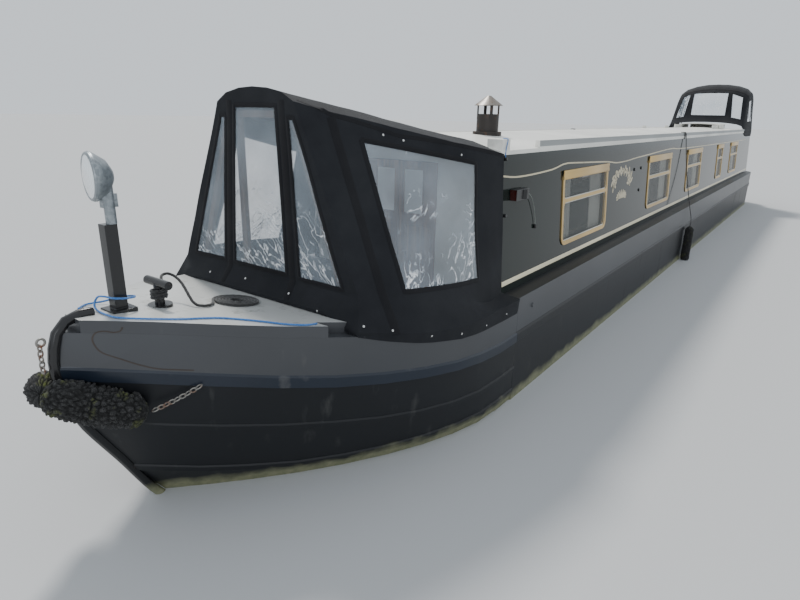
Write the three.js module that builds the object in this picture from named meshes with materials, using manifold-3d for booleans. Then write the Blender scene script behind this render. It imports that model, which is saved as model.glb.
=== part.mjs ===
// A steel narrowboat: a 55 ft canal boat with a long cabin, a canvas cratch cover over its well deck
// and a folding canvas hood over its stern cockpit. Millimetres, +X towards the bow, +Y to port, +Z up,
// with the origin under the middle of the flat base plate.
import * as THREE from "three";
import { mergeVertices } from "three/addons/utils/BufferGeometryUtils.js";
import Module from "manifold-3d";

const wasm = await Module();
wasm.setup();

// Driving dimensions of the hull.
const STERN = -8380; // after edge of the counter
const HALF_BEAM = 1030; // hull plating
const PLATE = 10; // base plate
const GUNWALE = 1280; // height of the side deck amidships
const STRAKE = 1030; // top edge of the rubbing strake amidships
const UXTER = 480; // underside of the counter, just below the waterline
const WALL = 60; // hull side with its lining
const SEAT = 0.3; // gap between pieces that touch

// Driving dimensions of the cabin.
const CABIN_FRONT = 5820;
const ROOF_END = -6400;
const CABIN_END = -7700; // after end of the side panels that shelter the cockpit
const SIDE_FOOT = 896; // half width of the cabin at the side deck
const SIDE_HEAD = 830; // half width of the cabin at the roof
const SIDE_TOP = 2230;
const SIDE_THICK = 50;
const ROOF_THICK = 28;
const CAMBER = 80;
const LEAN = (SIDE_FOOT - SIDE_HEAD) / (SIDE_TOP - GUNWALE);
const BULKHEAD = 50;
const WELL_FLOOR = 650;
const WELL_FRONT = 7100;
const COCKPIT_FLOOR = 900;
const COCKPIT_END = -7600;
const MID_FRONT = 5787; // where the bow section meets the straight sides
const MID_BACK = -4800; // where the swim begins
const CABIN_FLOOR = 150;
const AFT_FLOOR = 500; // floor over the swim

const HINGE_Y = 342.5;
const DOOR_HALF = 345; // half width of the doorways
const DOOR_THICK = 40;
const DOOR_HEAD = 2150;
const HATCH_FRONT = -5700; // front edge of the hatchway in the roof
const HATCH_HALF = 345;

// The cabin windows on each side: front edge x and length.
const WINDOW_SILL = 1447;
const WINDOW_HEIGHT = 618;
const WINDOWS = [
  { front: 4722, length: 1165 },
  { front: 2015, length: 1150 },
  { front: -222, length: 1110 },
  { front: -2905, length: 630 },
  { front: -4535, length: 1000 },
];

const paint = (color, roughness = 0.5, metalness = 0) =>
  new THREE.MeshStandardMaterial({ color, roughness, metalness });
const FINISH = {
  bitumen: paint(0x24282b, 0.45),
  grey: paint(0x8b9296, 0.6),
  gloss: paint(0x1d2a2b, 0.15),
  cream: paint(0xe6e2cf, 0.4),
  gold: paint(0xc9a45c, 0.35, 0.6),
  canvas: paint(0x17191c, 0.9),
  galvanised: paint(0x9aa0a3, 0.45, 0.7),
  rope: paint(0x2a2c2b, 0.95),
  blueRope: paint(0x3b7fd0, 0.8),
  wood: paint(0x8a5a34, 0.6),
  rust: paint(0x4a3a30, 0.8, 0.3),
  steel: paint(0x5c6063, 0.5, 0.7),
  bronze: paint(0x8f6b3a, 0.4, 0.8),
  brass: paint(0xc8a24a, 0.3, 0.9),
  curtain: paint(0xe8e6dd, 0.95),
  lamp: paint(0x222426, 0.5),
};

const group = new THREE.Group();

function add(name, geometry, material, mirrored = false) {
  const mesh = new THREE.Mesh(geometry, material);
  mesh.name = name;
  if (mirrored) mesh.scale.y = -1;
  group.add(mesh);
  return mesh;
}

// Adds a piece modelled on the port side and its mirror image to starboard.
function addPair(name, geometry, material) {
  add(name + "_port", geometry, material);
  add(name + "_starboard", geometry, material, true);
}

function box(x0, x1, y0, y1, z0, z1) {
  const made = new THREE.BoxGeometry(x1 - x0, y1 - y0, z1 - z0);
  return made.translate((x0 + x1) / 2, (y0 + y1) / 2, (z0 + z1) / 2);
}

// A cylinder between two heights, upright at a place.
function post(x, y, z0, z1, radius, sides = 12, topRadius = radius) {
  const made = new THREE.CylinderGeometry(topRadius, radius, z1 - z0, sides);
  return made.rotateX(Math.PI / 2).translate(x, y, (z0 + z1) / 2);
}

// A bar along x or y.
function barX(x0, x1, y, z, radius, sides = 12) {
  const made = new THREE.CylinderGeometry(radius, radius, x1 - x0, sides);
  return made.rotateZ(-Math.PI / 2).translate((x0 + x1) / 2, y, z);
}

function barY(y0, y1, x, z, radius, sides = 12) {
  const made = new THREE.CylinderGeometry(radius, radius, y1 - y0, sides);
  return made.translate(x, (y0 + y1) / 2, z);
}

function circle(radius, sides) {
  const shape = new THREE.Shape();
  for (let i = 0; i < sides; i++) {
    const a = (2 * Math.PI * i) / sides;
    const method = i ? "lineTo" : "moveTo";
    shape[method](radius * Math.cos(a), radius * Math.sin(a));
  }
  return shape;
}

// A round bar or rope that follows a smooth curve through the points.
function tube(points, radius, steps, sides = 8, tension = 0.5) {
  const path = new THREE.CatmullRomCurve3(points, false, "catmullrom", tension);
  const shape = circle(radius, sides);
  return new THREE.ExtrudeGeometry(shape, { steps, extrudePath: path });
}

const v = (x, y, z) => new THREE.Vector3(x, y, z);

// The solid inside a closed mesh, for joining and cutting.
function solid(geometry) {
  const bare = geometry.clone();
  bare.deleteAttribute("normal");
  bare.deleteAttribute("uv");
  const merged = mergeVertices(bare, 1e-3);
  const vertProperties = new Float32Array(merged.attributes.position.array);
  const triVerts = new Uint32Array(merged.index.array);
  const mesh = new wasm.Mesh({ numProp: 3, vertProperties, triVerts });
  return new wasm.Manifold(mesh);
}

function geometryOf(made) {
  const mesh = made.getMesh();
  const positions = new THREE.BufferAttribute(mesh.vertProperties, 3);
  const geometry = new THREE.BufferGeometry().setAttribute("position", positions);
  geometry.setIndex(new THREE.BufferAttribute(mesh.triVerts, 1));
  geometry.computeVertexNormals();
  return geometry;
}

const join = (...pieces) =>
  geometryOf(pieces.map(solid).reduce((a, b) => a.add(b)));
const cut = (piece, ...holes) =>
  geometryOf(holes.map(solid).reduce((a, b) => a.subtract(b), solid(piece)));

// Joins rings of points into a closed skin. Each ring runs from starboard to port, so that point i and
// the point as far from the other end lie opposite each other, and the ends are closed across.
function skin(rings) {
  const count = rings[0].length;
  const triangles = [];
  const quad = (a, b, c, d) => triangles.push(a, b, c, a, c, d);
  rings.slice(1).forEach((ring, k) => {
    const below = rings[k];
    for (let i = 0; i < count; i++) {
      const j = (i + 1) % count;
      quad(below[i], below[j], ring[j], ring[i]);
    }
  });
  const first = rings[0];
  const last = rings[rings.length - 1];
  for (let i = 0; i < Math.floor(count / 2) - (count % 2 ? 0 : 1); i++) {
    const o = count - 1 - i;
    if (i + 1 === o - 1) {
      triangles.push(first[i], first[o], first[i + 1]);
      triangles.push(last[i], last[i + 1], last[o]);
    } else {
      quad(first[i], first[o], first[o - 1], first[i + 1]);
      quad(last[i], last[i + 1], last[o - 1], last[o]);
    }
  }
  const positions = new Float32Array(triangles.flat());
  const geometry = new THREE.BufferGeometry();
  geometry.setAttribute("position", new THREE.BufferAttribute(positions, 3));
  const made = mergeVertices(geometry, 1e-3);
  const volume = solid(made).volume();
  if (volume < 0) {
    const index = made.index.array;
    for (let i = 0; i < index.length; i += 3)
      [index[i + 1], index[i + 2]] = [index[i + 2], index[i + 1]];
  }
  made.computeVertexNormals();
  return made;
}

// A ring from its port half, where neither end lies on the centreline.
function closedRing(half) {
  const starboard = half.map(([x, y, z]) => [x, -y, z]);
  return [...starboard, ...[...half].reverse()];
}

// A ring from half of it: points from the open end to the centreline, the last with y = 0.
function ringOf(half) {
  const starboard = half.map(([x, y, z]) => [x, -y, z]);
  return [...starboard, ...half.slice(0, -1).reverse()];
}

// The stem's profile: its outer face's x at each height.
const STEM = [
  { z: 0, x: 7545 },
  { z: 518, x: 7983 },
  { z: 1066, x: 8290 },
  { z: 1352, x: 8370 },
  { z: 1480, x: 8352 },
  { z: 1620, x: 8290 },
];

// The value of one column where another reaches a value, on a line through the rows of a table.
function along(table, key, value, result) {
  const rows = [...table].sort((a, b) => a[key] - b[key]);
  const k = rows.findIndex((row) => row[key] >= value);
  if (k <= 0) return rows[k < 0 ? rows.length - 1 : 0][result];
  const [a, b] = [rows[k - 1], rows[k]];
  return a[result] + ((value - a[key]) / (b[key] - a[key])) * (b[result] - a[result]);
}

const stemX = (z) => along(STEM, "z", z, "x");
const STEM_INSET = 20; // the plates meet behind the round stem bar
const BOW_FULLNESS = 1.7;

// Half breadth of the bow at a distance behind the stem, for a bow of a given length.
function bowHalf(behind, length) {
  const left = 1 - Math.min(1, Math.max(0, behind / length));
  return HALF_BEAM * (1 - left ** BOW_FULLNESS);
}

// Heights along the bow, from the stem aft: the side deck's edge and the top edges of the three strakes.
const SHEER = [
  { x: 8300, z: 1532 },
  { x: 8070, z: 1511 },
  { x: 7920, z: 1489 },
  { x: 7575, z: 1433 },
  { x: 7375, z: 1399 },
  { x: 7195, z: 1384 },
  { x: 7015, z: 1345 },
  { x: 6885, z: 1312 },
  { x: 6445, z: GUNWALE },
];
const TOP_STRAKE = [
  { x: 8340, z: 1386 },
  { x: 8130, z: 1350 },
  { x: 7951, z: 1312 },
  { x: 7778, z: 1274 },
  { x: 7582, z: 1230 },
  { x: 7360, z: 1185 },
  { x: 6987, z: 1129 },
  { x: 6465, z: 1070 },
  { x: 6065, z: STRAKE },
];
const MID_STRAKE = [
  { x: 8190, z: 1072 },
  { x: 7872, z: 988 },
  { x: 7546, z: 921 },
  { x: 7311, z: 880 },
  { x: 6991, z: 829 },
  { x: 6666, z: 796 },
  { x: 6100, z: 770 },
];
const LOW_STRAKE = [
  { x: 8090, z: 755 },
  { x: 7829, z: 684 },
  { x: 7453, z: 618 },
  { x: 7045, z: 598 },
];
const KEEL = [{ x: 7500, z: PLATE + SEAT }];

// Lines round the bow, from the base plate to the deck: the curve they follow, how far below it they
// run, and how far they stand proud of the plating.
const LINES = [
  { curve: KEEL, drop: 0, proud: 0 },
  ...[LOW_STRAKE, MID_STRAKE].flatMap((curve) => [
    { curve, drop: 38, proud: 0 },
    { curve, drop: 38, proud: 10 },
    { curve, drop: 10, proud: 10 },
    { curve, drop: 0, proud: 0 },
  ]),
  { curve: TOP_STRAKE, drop: 70, proud: 0 },
  { curve: TOP_STRAKE, drop: 70, proud: 11 },
  { curve: TOP_STRAKE, drop: 12, proud: 11 },
  { curve: TOP_STRAKE, drop: 0, proud: 0 },
  { curve: SHEER, drop: 0, proud: 0 },
];
const BOW_STEPS = [0, 0.1, 0.2, 0.3, 0.4, 0.5, 0.6, 0.7, 0.8, 0.88, 0.95, 1];

const lineHeight = ({ curve, drop }, x) => along(curve, "x", x, "z") - drop;
const bowLength = (z) => 2200 - 300 * Math.min(1, z / 500);
const plateHalf = (x, z) => bowHalf(stemX(z) - STEM_INSET - x, bowLength(z));

// Half of one line round the bow, from the straight side to the stem, set out by an amount.
function bowLine(line, set = 0, lift = 0) {
  const apex = stemX(line.curve[0].z - line.drop) - STEM_INSET;
  return BOW_STEPS.map((u) => {
    const x = MID_FRONT + SEAT + (apex - MID_FRONT - SEAT) * u;
    const z = lineHeight(line, x) + lift;
    if (u === 1) return [x + (set + line.proud) * 1.2, 0, z];
    return [x, plateHalf(x, z - lift) + set + line.proud, z];
  });
}

const DECK_STEP = 60; // the raised foredeck stands this much above the side deck
const DECK_BACK = 7366; // its edge steps down here
const DECK_INNER = 90; // and from there aft, under the canvas, it stands in from the side
const WELL_EDGE = 7130; // its after edge
const DECK_TIP = 8240; // its forward end
const BOW_END = 8600;

// The part of the deck's edge between two stations.
function deckLine(back, front, set, lift) {
  const line = bowLine(LINES[LINES.length - 1], set, lift);
  const at = (x) => {
    const k = line.findIndex((point) => point[0] > x);
    const [a, b] = [line[k - 1], line[k]];
    const t = (x - a[0]) / (b[0] - a[0]);
    return a.map((value, i) => value + t * (b[i] - value));
  };
  const inside = line.filter(([x]) => x > back && x < front);
  return [at(back), ...inside, ...(front < STEM[3].x - 200 ? [at(front)] : [])];
}

// The foredeck's height at a distance along the boat.
function deckHeight(x) {
  const line = deckLine(WELL_EDGE, Infinity, 0, DECK_STEP).map(([px, , pz]) => ({ x: px, z: pz }));
  return along(line, "x", x, "z");
}

function foredeckSlab(set, lift) {
  const slab = (back, front, inset) => {
    const low = deckLine(back, front, set - inset, SEAT - lift);
    const high = deckLine(back, front, set - inset, DECK_STEP + lift);
    const rings = [low, high].map((half) => (front < Infinity ? closedRing(half) : ringOf(half)));
    return skin(rings);
  };
  return join(
    slab(DECK_BACK - set, Infinity, 0),
    slab(WELL_EDGE - set, DECK_BACK + DECK_INNER, DECK_INNER),
  );
}

// A fitting with its foot let down to the sloping foredeck.
const onDeck = (piece) => cut(piece, foredeckSlab(10, SEAT));

function hullBow() {
  const shell = skin(LINES.map((line) => ringOf(bowLine(line))));
  const steps = [CABIN_FRONT + 40, 6100, 6400, 6700, 6900, WELL_FRONT];
  const levels = [WELL_FLOOR, 900, 1150, 1700].map((z) =>
    steps.map((x) => [x, plateHalf(x, Math.min(z, GUNWALE)) - WALL, z]),
  );
  const well = skin(
    levels.map((half) => ringOf([...half, [WELL_FRONT, 0, half[0][2]]])),
  );
  const doorway = box(CABIN_FRONT - 100, CABIN_FRONT + 100, -DOOR_HALF, DOOR_HALF, 700, 1500);
  return cut(shell, well, doorway, stemTube(STEM_RADIUS + 0.5));
}

function basePlate() {
  const shape = new THREE.Shape();
  const bow = bowLine(LINES[0], 8);
  const swim = SWIM_STEPS.map((u) => [swimX(u), swimHalf(u) + 8]);
  const half = [...swim.reverse(), ...bow];
  half.forEach(([x, y], i) => shape[i ? "lineTo" : "moveTo"](x, y));
  [...half].reverse().slice(1).forEach(([x, y]) => shape.lineTo(x, -y));
  return new THREE.ExtrudeGeometry(shape, { depth: PLATE, bevelEnabled: false });
}

// The swim: the hull below the counter narrows to the stern post.
const POST_X = -7500;
const SHAFT = 19;
const BORE = 19.5;
const STOCK = 24;
const STOCK_BORE = 24.6;
const SWIM_STEPS = [0, 0.2, 0.38, 0.54, 0.68, 0.8, 0.9, 1];
const swimX = (u) => MID_BACK - (MID_BACK - POST_X) * u;
const swimHalf = (u) => Math.max(28, HALF_BEAM * (1 - u ** 1.8));

// The counter's plan: a blunt rounded stern.
const COUNTER_FRONT = -7450;
const COUNTER_STEPS = [0, 0.3, 0.55, 0.74, 0.87, 0.95, 0.985];

function counterLine(z, proud) {
  const reach = COUNTER_FRONT - STERN - 12 + proud;
  const straight = [
    [MID_BACK - SEAT, HALF_BEAM + proud, z],
    [-6300, HALF_BEAM + proud, z],
  ];
  const rounded = COUNTER_STEPS.map((u) => {
    const y = (HALF_BEAM + proud) * (1 - u ** 2.4) ** (1 / 2.4);
    return [COUNTER_FRONT - reach * u, y, z];
  });
  return [...straight, ...rounded, [COUNTER_FRONT - reach, 0, z]];
}

const STERN_LEVELS = [
  [UXTER, 0],
  [STRAKE - 70, 0],
  [STRAKE - 70, 11],
  [STRAKE - 12, 11],
  [STRAKE, 0],
  [GUNWALE, 0],
];

function hullStern() {
  const swimLevel = (z) => [
    [MID_BACK - SEAT, HALF_BEAM, z],
    ...SWIM_STEPS.slice(1).map((u) => [swimX(u), swimHalf(u), z]),
    [POST_X, 0, z],
  ];
  const swim = skin([PLATE + SEAT, UXTER + 20].map((z) => ringOf(swimLevel(z))));
  const counter = skin(STERN_LEVELS.map(([z, proud]) => ringOf(counterLine(z, proud))));
  const shaftTube = barX(POST_X - 60, POST_X + 400, 0, SHAFT_Z, 38, 12);
  const shaftBore = barX(POST_X - 70, POST_X, 0, SHAFT_Z, BORE, 24);
  const side = HALF_BEAM - WALL;
  const cabin = box(-6300, MID_BACK + 50, -side, side, AFT_FLOOR, GUNWALE - 40);
  const cabinTop = box(-6300, MID_BACK + 50, -SIDE_FOOT + 50, SIDE_FOOT - 50, AFT_FLOOR, 1500);
  const cockpit = box(COCKPIT_END, -6380, -840, 840, COCKPIT_FLOOR, 1500);
  const bay = box(-7010, -6380, -290, 290, CABIN_FLOOR, 1000);
  const doorway = box(-6500, -6200, -DOOR_HALF, DOOR_HALF, 930, 1500);
  const rudderTrunk = post(RUDDER_X, 0, UXTER - 50, GUNWALE + 50, STOCK_BORE, 24);
  const studs = [1, -1].map((side) =>
    join(
      post(-7820, side * 720, GUNWALE - 4, GUNWALE + 95, 26, 12, 20),
      post(-7820, side * 720, GUNWALE + 90, GUNWALE + 108, 36, 12),
    ),
  );
  const joined = join(swim, counter, shaftTube, ...studs);
  return cut(joined, cabin, cabinTop, cockpit, bay, doorway, rudderTrunk, shaftBore);
}

// One straight side: the plate with its lining, the strake and the side deck that carries the cabin.
function hullSide() {
  const inner = HALF_BEAM - WALL;
  const deckInner = SIDE_FOOT - SIDE_THICK;
  const section = new THREE.Shape();
  const outline = [
    [inner, PLATE + SEAT],
    [HALF_BEAM, PLATE + SEAT],
    [HALF_BEAM, STRAKE - 70],
    [HALF_BEAM + 11, STRAKE - 70],
    [HALF_BEAM + 11, STRAKE - 12],
    [HALF_BEAM, STRAKE],
    [HALF_BEAM, GUNWALE],
    [deckInner, GUNWALE],
    [deckInner, GUNWALE - 40],
    [inner, GUNWALE - 40],
  ];
  outline.forEach(([y, z], i) => section[i ? "lineTo" : "moveTo"](y, z));
  const side = alongX(section, MID_BACK + SEAT, MID_FRONT - SEAT);
  const outlet = barY(HALF_BEAM - 5, HALF_BEAM + 10, 5544, 1172, 18, 12);
  return join(side, outlet);
}

// Extrudes an outline in y and z along x.
function alongX(shape, x0, x1) {
  const made = new THREE.ExtrudeGeometry(shape, { depth: x1 - x0, bevelEnabled: false });
  return made.rotateX(Math.PI / 2).rotateZ(Math.PI / 2).translate(x0, 0, 0);
}

// The round bar up the stem, which curls over on to the foredeck.
function stemTube(radius) {
  const points = [PLATE + 60, 300, 518, 800, 1066, 1220, 1352].map((z) => v(stemX(z) - 25, 0, z));
  points.push(v(8338, 0, 1440), v(8324, 0, 1506), v(8290, 0, 1560), v(8236, 0, 1586));
  points.push(v(8190, 0, 1590), v(8148, 0, 1586));
  return tube(points, radius, 30, 10);
}

const STEM_RADIUS = 25;

function stemBar() {
  const below = box(7400, 7800, -100, 100, -100, PLATE + 78);
  return cut(stemTube(STEM_RADIUS), below);
}

const POST_FOOT = { x: 8025 };
const POST_TOP = 1975;
const LAMP = { x: 8064, y: 0, z: 2187, radius: 109 };
const STALK = { x: 8012, y: 12 };

function headlampPost() {
  const { x } = POST_FOOT;
  const foot = deckHeight(x) - 30;
  const bar = box(x - 30, x + 30, -30, 30, foot, POST_TOP);
  const plate = box(x - 60, x + 60, -60, 60, foot, deckHeight(x) + 14);
  return onDeck(join(bar, plate));
}

// The lamp: a round bowl with a lens, clamped to a square tube that stands in the post.
function headlamp() {
  const profile = [
    [0, -84],
    [30, -82],
    [72, -58],
    [99, -18],
    [LAMP.radius, -4],
    [LAMP.radius, 6],
    [94, 16],
    [50, 27],
    [0, 31],
  ].map(([r, d]) => new THREE.Vector2(r, d));
  const bowl = new THREE.LatheGeometry(profile, 28);
  bowl.rotateZ(-Math.PI / 2).rotateZ((-12 * Math.PI) / 180);
  bowl.translate(LAMP.x, LAMP.y, LAMP.z);
  const stalk = post(STALK.x, STALK.y, POST_TOP + SEAT, LAMP.z - 30, 24, 16);
  const clamp = box(STALK.x - 34, STALK.x + 34, STALK.y - 16, STALK.y + 16, 2050, 2110);
  return join(bowl, stalk, clamp);
}

const T_STUD = { x: 7818 };
const STUD_STEM = 24;

function tStud() {
  const { x } = T_STUD;
  const foot = deckHeight(x);
  const stem = post(x, 0, foot, foot + 120, STUD_STEM, 14);
  const bar = barY(-95, 95, x, foot + 120, 22, 14);
  const base = post(x, 0, foot - 30, foot + 10, 60, 14);
  return onDeck(join(stem, bar, base));
}

// The rope fender on the stem: a fat roll with an arm along each bow, and a chain from each arm's end.
const FENDER_ARM = [
  { x: 8350, z: 1250, radius: 92 },
  { x: 8270, z: 1205, radius: 98 },
  { x: 8185, z: 1165, radius: 95 },
  { x: 8115, z: 1138, radius: 84 },
  { x: 8090, z: 1128, radius: 58 },
];
const BOW_LUG = { x: 7885, z: 1236 };

// A round bar that swells and thins along its path.
function roll(points, radii, sides) {
  const path = new THREE.CatmullRomCurve3(points);
  const steps = 2 * (points.length - 1);
  const rings = Array.from({ length: steps + 1 }, (_, i) => {
    const t = i / steps;
    const at = path.getPoint(t);
    const tangent = path.getTangent(t);
    const sideways = new THREE.Vector3(tangent.y, -tangent.x, 0).normalize();
    const upwards = new THREE.Vector3().crossVectors(sideways, tangent);
    const place = t * (radii.length - 1);
    const k = Math.min(radii.length - 2, Math.floor(place));
    const radius = radii[k] + (place - k) * (radii[k + 1] - radii[k]);
    return Array.from({ length: sides }, (_, j) => {
      const a = (2 * Math.PI * j) / sides;
      const point = at.clone();
      point.addScaledVector(sideways, radius * Math.cos(a));
      point.addScaledVector(upwards, radius * Math.sin(a));
      return point.toArray();
    });
  });
  return skin(rings);
}

function bowFender() {
  const arm = (side) => {
    const places = FENDER_ARM.map(({ x, z, radius }) =>
      v(x, side * (plateHalf(x, z) + radius * 0.72), z),
    );
    const nose = v(8418, side * 8, 1276);
    return roll([nose, ...places], [72, ...FENDER_ARM.map(({ radius }) => radius)], 12);
  };
  const chain = (side) => {
    const end = FENDER_ARM[FENDER_ARM.length - 1];
    const from = v(end.x, side * (plateHalf(end.x, end.z) + 50), end.z);
    const to = v(BOW_LUG.x, side * (plateHalf(BOW_LUG.x, BOW_LUG.z) + 22), BOW_LUG.z);
    return tube([from, to], 9, 1, 6);
  };
  const ball = new THREE.SphereGeometry(84, 16, 10).scale(0.95, 1, 1.1).translate(8426, 0, 1286);
  const lug = barY(-7, 7, 8384, 1508, 16, 10);
  const hanger = post(8384, 0, 1360, 1500, 8, 6);
  const all = join(ball, arm(1), arm(-1), chain(1), chain(-1), lug, hanger);
  const plating = [-14, 0, 14].map((lift) => skin(LINES.map((line) => ringOf(bowLine(line, 3, lift)))));
  return cut(all, ...plating, stemTube(STEM_RADIUS + 0.5));
}

// The rope button on the counter, which balances the bow fender.
function sternFender() {
  const pad = roll(
    [v(-8306, -330, 1130), v(-8396, -170, 1130), v(-8424, 0, 1130), v(-8396, 170, 1130), v(-8306, 330, 1130)],
    [52, 74, 82, 74, 52],
    12,
  );
  const counter = skin(STERN_LEVELS.map(([z, proud]) => ringOf(counterLine(z, proud + 1))));
  return cut(pad, counter);
}

function sidePanel() {
  const shape = new THREE.Shape();
  const front = CABIN_FRONT;
  shape.moveTo(CABIN_END, GUNWALE + SEAT);
  shape.lineTo(front, GUNWALE + SEAT);
  shape.lineTo(front, SIDE_TOP);
  shape.lineTo(CABIN_END + 60, SIDE_TOP);
  for (const { front: x, length } of WINDOWS)
    shape.holes.push(roundedRect(new THREE.Path(), x - length + 20, WINDOW_SILL + 20, length - 40, WINDOW_HEIGHT - 40, 60));
  return onSide(shape, SIDE_THICK, -SIDE_THICK, 3);
}

function roundedRect(path, x, z, w, h, r) {
  path.moveTo(x + r, z);
  path.lineTo(x + w - r, z);
  path.absarc(x + w - r, z + r, r, -Math.PI / 2, 0, false);
  path.lineTo(x + w, z + h - r);
  path.absarc(x + w - r, z + h - r, r, 0, Math.PI / 2, false);
  path.lineTo(x + r, z + h);
  path.absarc(x + r, z + h - r, r, Math.PI / 2, Math.PI, false);
  path.lineTo(x, z + r);
  path.absarc(x + r, z + r, r, Math.PI, 1.5 * Math.PI, false);
  return path;
}

// Extrudes an outline in x and z outwards from the leaning cabin side, starting at a depth.
function onSide(shape, thick, depth, curveSegments = 3) {
  const made = new THREE.ExtrudeGeometry(shape, { depth: thick, bevelEnabled: false, curveSegments });
  const place = new THREE.Matrix4().set(
    1, 0, 0, 0,
    0, -LEAN, 1, SIDE_FOOT + LEAN * GUNWALE + depth,
    0, 1, 0, 0,
    0, 0, 0, 1,
  );
  made.applyMatrix4(place);
  const index = [...Array(made.attributes.position.count).keys()];
  for (let i = 0; i < index.length; i += 3)
    [index[i + 1], index[i + 2]] = [index[i + 2], index[i + 1]];
  made.setIndex(index);
  return made;
}

// A window: a frame with a bar below its hopper, over the glass.
function windowUnit({ front, length }) {
  const x = front - length;
  const rim = 34;
  const bar = WINDOW_SILL + WINDOW_HEIGHT * 0.6;
  const frame = roundedRect(new THREE.Shape(), x, WINDOW_SILL, length, WINDOW_HEIGHT, 75);
  const lights = [
    [WINDOW_SILL + rim, bar - 14 - WINDOW_SILL - rim],
    [bar + 14, WINDOW_SILL + WINDOW_HEIGHT - rim - bar - 14],
  ];
  for (const [z, h] of lights)
    frame.holes.push(roundedRect(new THREE.Path(), x + rim, z, length - 2 * rim, h, 42));
  const flange = onSide(frame, 9, SEAT, 3);
  const pane = roundedRect(new THREE.Shape(), x + 24, WINDOW_SILL + 24, length - 48, WINDOW_HEIGHT - 48, 56);
  return join(flange, onSide(pane, 22, -20, 3));
}

const roofTop = (y) => SIDE_TOP + ROOF_THICK + CAMBER * (1 - (y / SIDE_HEAD) ** 2);
const underRoof = (y) => roofTop(y) - ROOF_THICK + SEAT;

const ROOF_STEPS = 12;

// The cambered roof plate between two stations, grown upwards by an amount.
function roofSlab(x0, x1, grow = 0) {
  const ys = Array.from({ length: ROOF_STEPS + 1 }, (_, i) => -SIDE_HEAD + (2 * SIDE_HEAD * i) / ROOF_STEPS);
  const low = ys.map((y) => [y, underRoof(y)]);
  const high = [...ys].reverse().map((y) => [y, roofTop(y) + grow]);
  return prismX([...low, ...high], x0, x1);
}

function roof() {
  const hatchway = box(ROOF_END - 10, HATCH_FRONT, -HATCH_HALF, HATCH_HALF, 2200, 2500);
  const rail = [
    [788, roofTop(788) - 4],
    [SIDE_HEAD, roofTop(SIDE_HEAD) - 4],
    [826, 2312],
    [793, 2312],
  ];
  const port = prismX(rail, ROOF_END, RAIL_FRONT);
  const starboard = port.clone().rotateZ(Math.PI).translate(ROOF_END + RAIL_FRONT, 0, 0);
  const runnerTop = HATCH_RISE - 18 - SEAT;
  const runner = (y) => box(-6390, -4950, y - 10, y + 10, roofTop(y) - 6, roofTop(RUNNER + 10) + runnerTop);
  const block = box(5690, 5805, 715, 826, roofTop(780) - 10, 2330);
  const vents = VENTS.map(({ x, y }) => post(x, y, roofTop(y) - 6, roofTop(y) + 45, 40, 14, 30));
  const plate = roofSlab(ROOF_END, CABIN_FRONT + 12);
  const joined = join(plate, port, starboard, block, runner(RUNNER), runner(-RUNNER), ...vents);
  return cut(joined, hatchway);
}

const RAIL_FRONT = 5200;
const RUNNER = 375;
const HATCH_RISE = 92; // the sliding hatch's top above the roof
const VENTS = [
  { x: -1705, y: -200 },
  { x: -2605, y: -30 },
];

function mirroredShape(shape) {
  const points = shape.getPoints().map((p) => new THREE.Vector2(-p.x, p.y));
  return new THREE.Shape(points.reverse());
}

// A bulkhead under the cambered roof, with a doorway open at its foot.
function bulkheadHalf(x0, x1) {
  const low = GUNWALE + SEAT;
  const points = [
    [DOOR_HALF, low],
    [SIDE_FOOT - SIDE_THICK - 1, low],
    [SIDE_HEAD - SIDE_THICK - 1, SIDE_TOP - 1],
  ];
  for (const y of [600, DOOR_HALF]) points.push([y, underRoof(y) - 2]);
  return prismX(points, x0, x1);
}

function frontBulkhead() {
  const x = [CABIN_FRONT - BULKHEAD, CABIN_FRONT - 1];
  const lintel = prismX(
    [
      [-DOOR_HALF - 1, DOOR_HEAD + 5],
      [DOOR_HALF + 1, DOOR_HEAD + 5],
      [DOOR_HALF + 1, underRoof(DOOR_HALF) - 3],
      [0, underRoof(DOOR_HALF) - 3],
      [-DOOR_HALF - 1, underRoof(DOOR_HALF) - 3],
    ],
    ...x,
  );
  const port = bulkheadHalf(...x);
  const starboard = bulkheadHalf(...x).rotateZ(Math.PI).translate(x[0] + x[1], 0, 0);
  return join(port, starboard, lintel);
}

const KNUCKLE = 6;
const KNUCKLES = [1380, 1720, 2050];

// The port leaf of a pair of doors whose outer face is at an x. Its knuckles turn on the bulkhead's
// face, just outside the doorway.
function door(face, outward, sill, head, bulkheadFace) {
  const inner = face - outward * DOOR_THICK;
  const leaf = box(Math.min(inner, face), Math.max(inner, face), 3, DOOR_HALF - 5, sill, head);
  const handle = box(-8, 8, -12, 12, -50, 50);
  handle.translate(face + outward * 7, 60, (sill + head) / 2);
  const pivot = bulkheadFace + outward * (KNUCKLE + SEAT);
  const hinges = KNUCKLES.map((z) => {
    const barrel = post(pivot, HINGE_Y, z, z + 80, KNUCKLE, 12);
    const flap = box(Math.min(face - outward, pivot), Math.max(face - outward, pivot), HINGE_Y - 14, HINGE_Y - 3, z, z + 80);
    return join(barrel, flap);
  });
  return join(leaf, handle, ...hinges);
}

function slideHatch() {
  const arch = [-405, -270, -135, 0, 135, 270, 405];
  const over = (rise) => arch.map((y) => [y, roofTop(y) + rise]);
  const lid = prismX([...over(HATCH_RISE - 18), ...over(HATCH_RISE).reverse()], -6440, -5660);
  const cheek = (y) => box(-6440, -5660, y - 6, y + 6, roofTop(y) + 6, roofTop(y) + HATCH_RISE - 4);
  const lip = box(-6440, -6420, -335, 335, 2252, roofTop(335) + HATCH_RISE - 4);
  return join(lid, cheek(399), cheek(-399), lip);
}

const CHIMNEY = { x: 4960, y: 255 };

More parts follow.
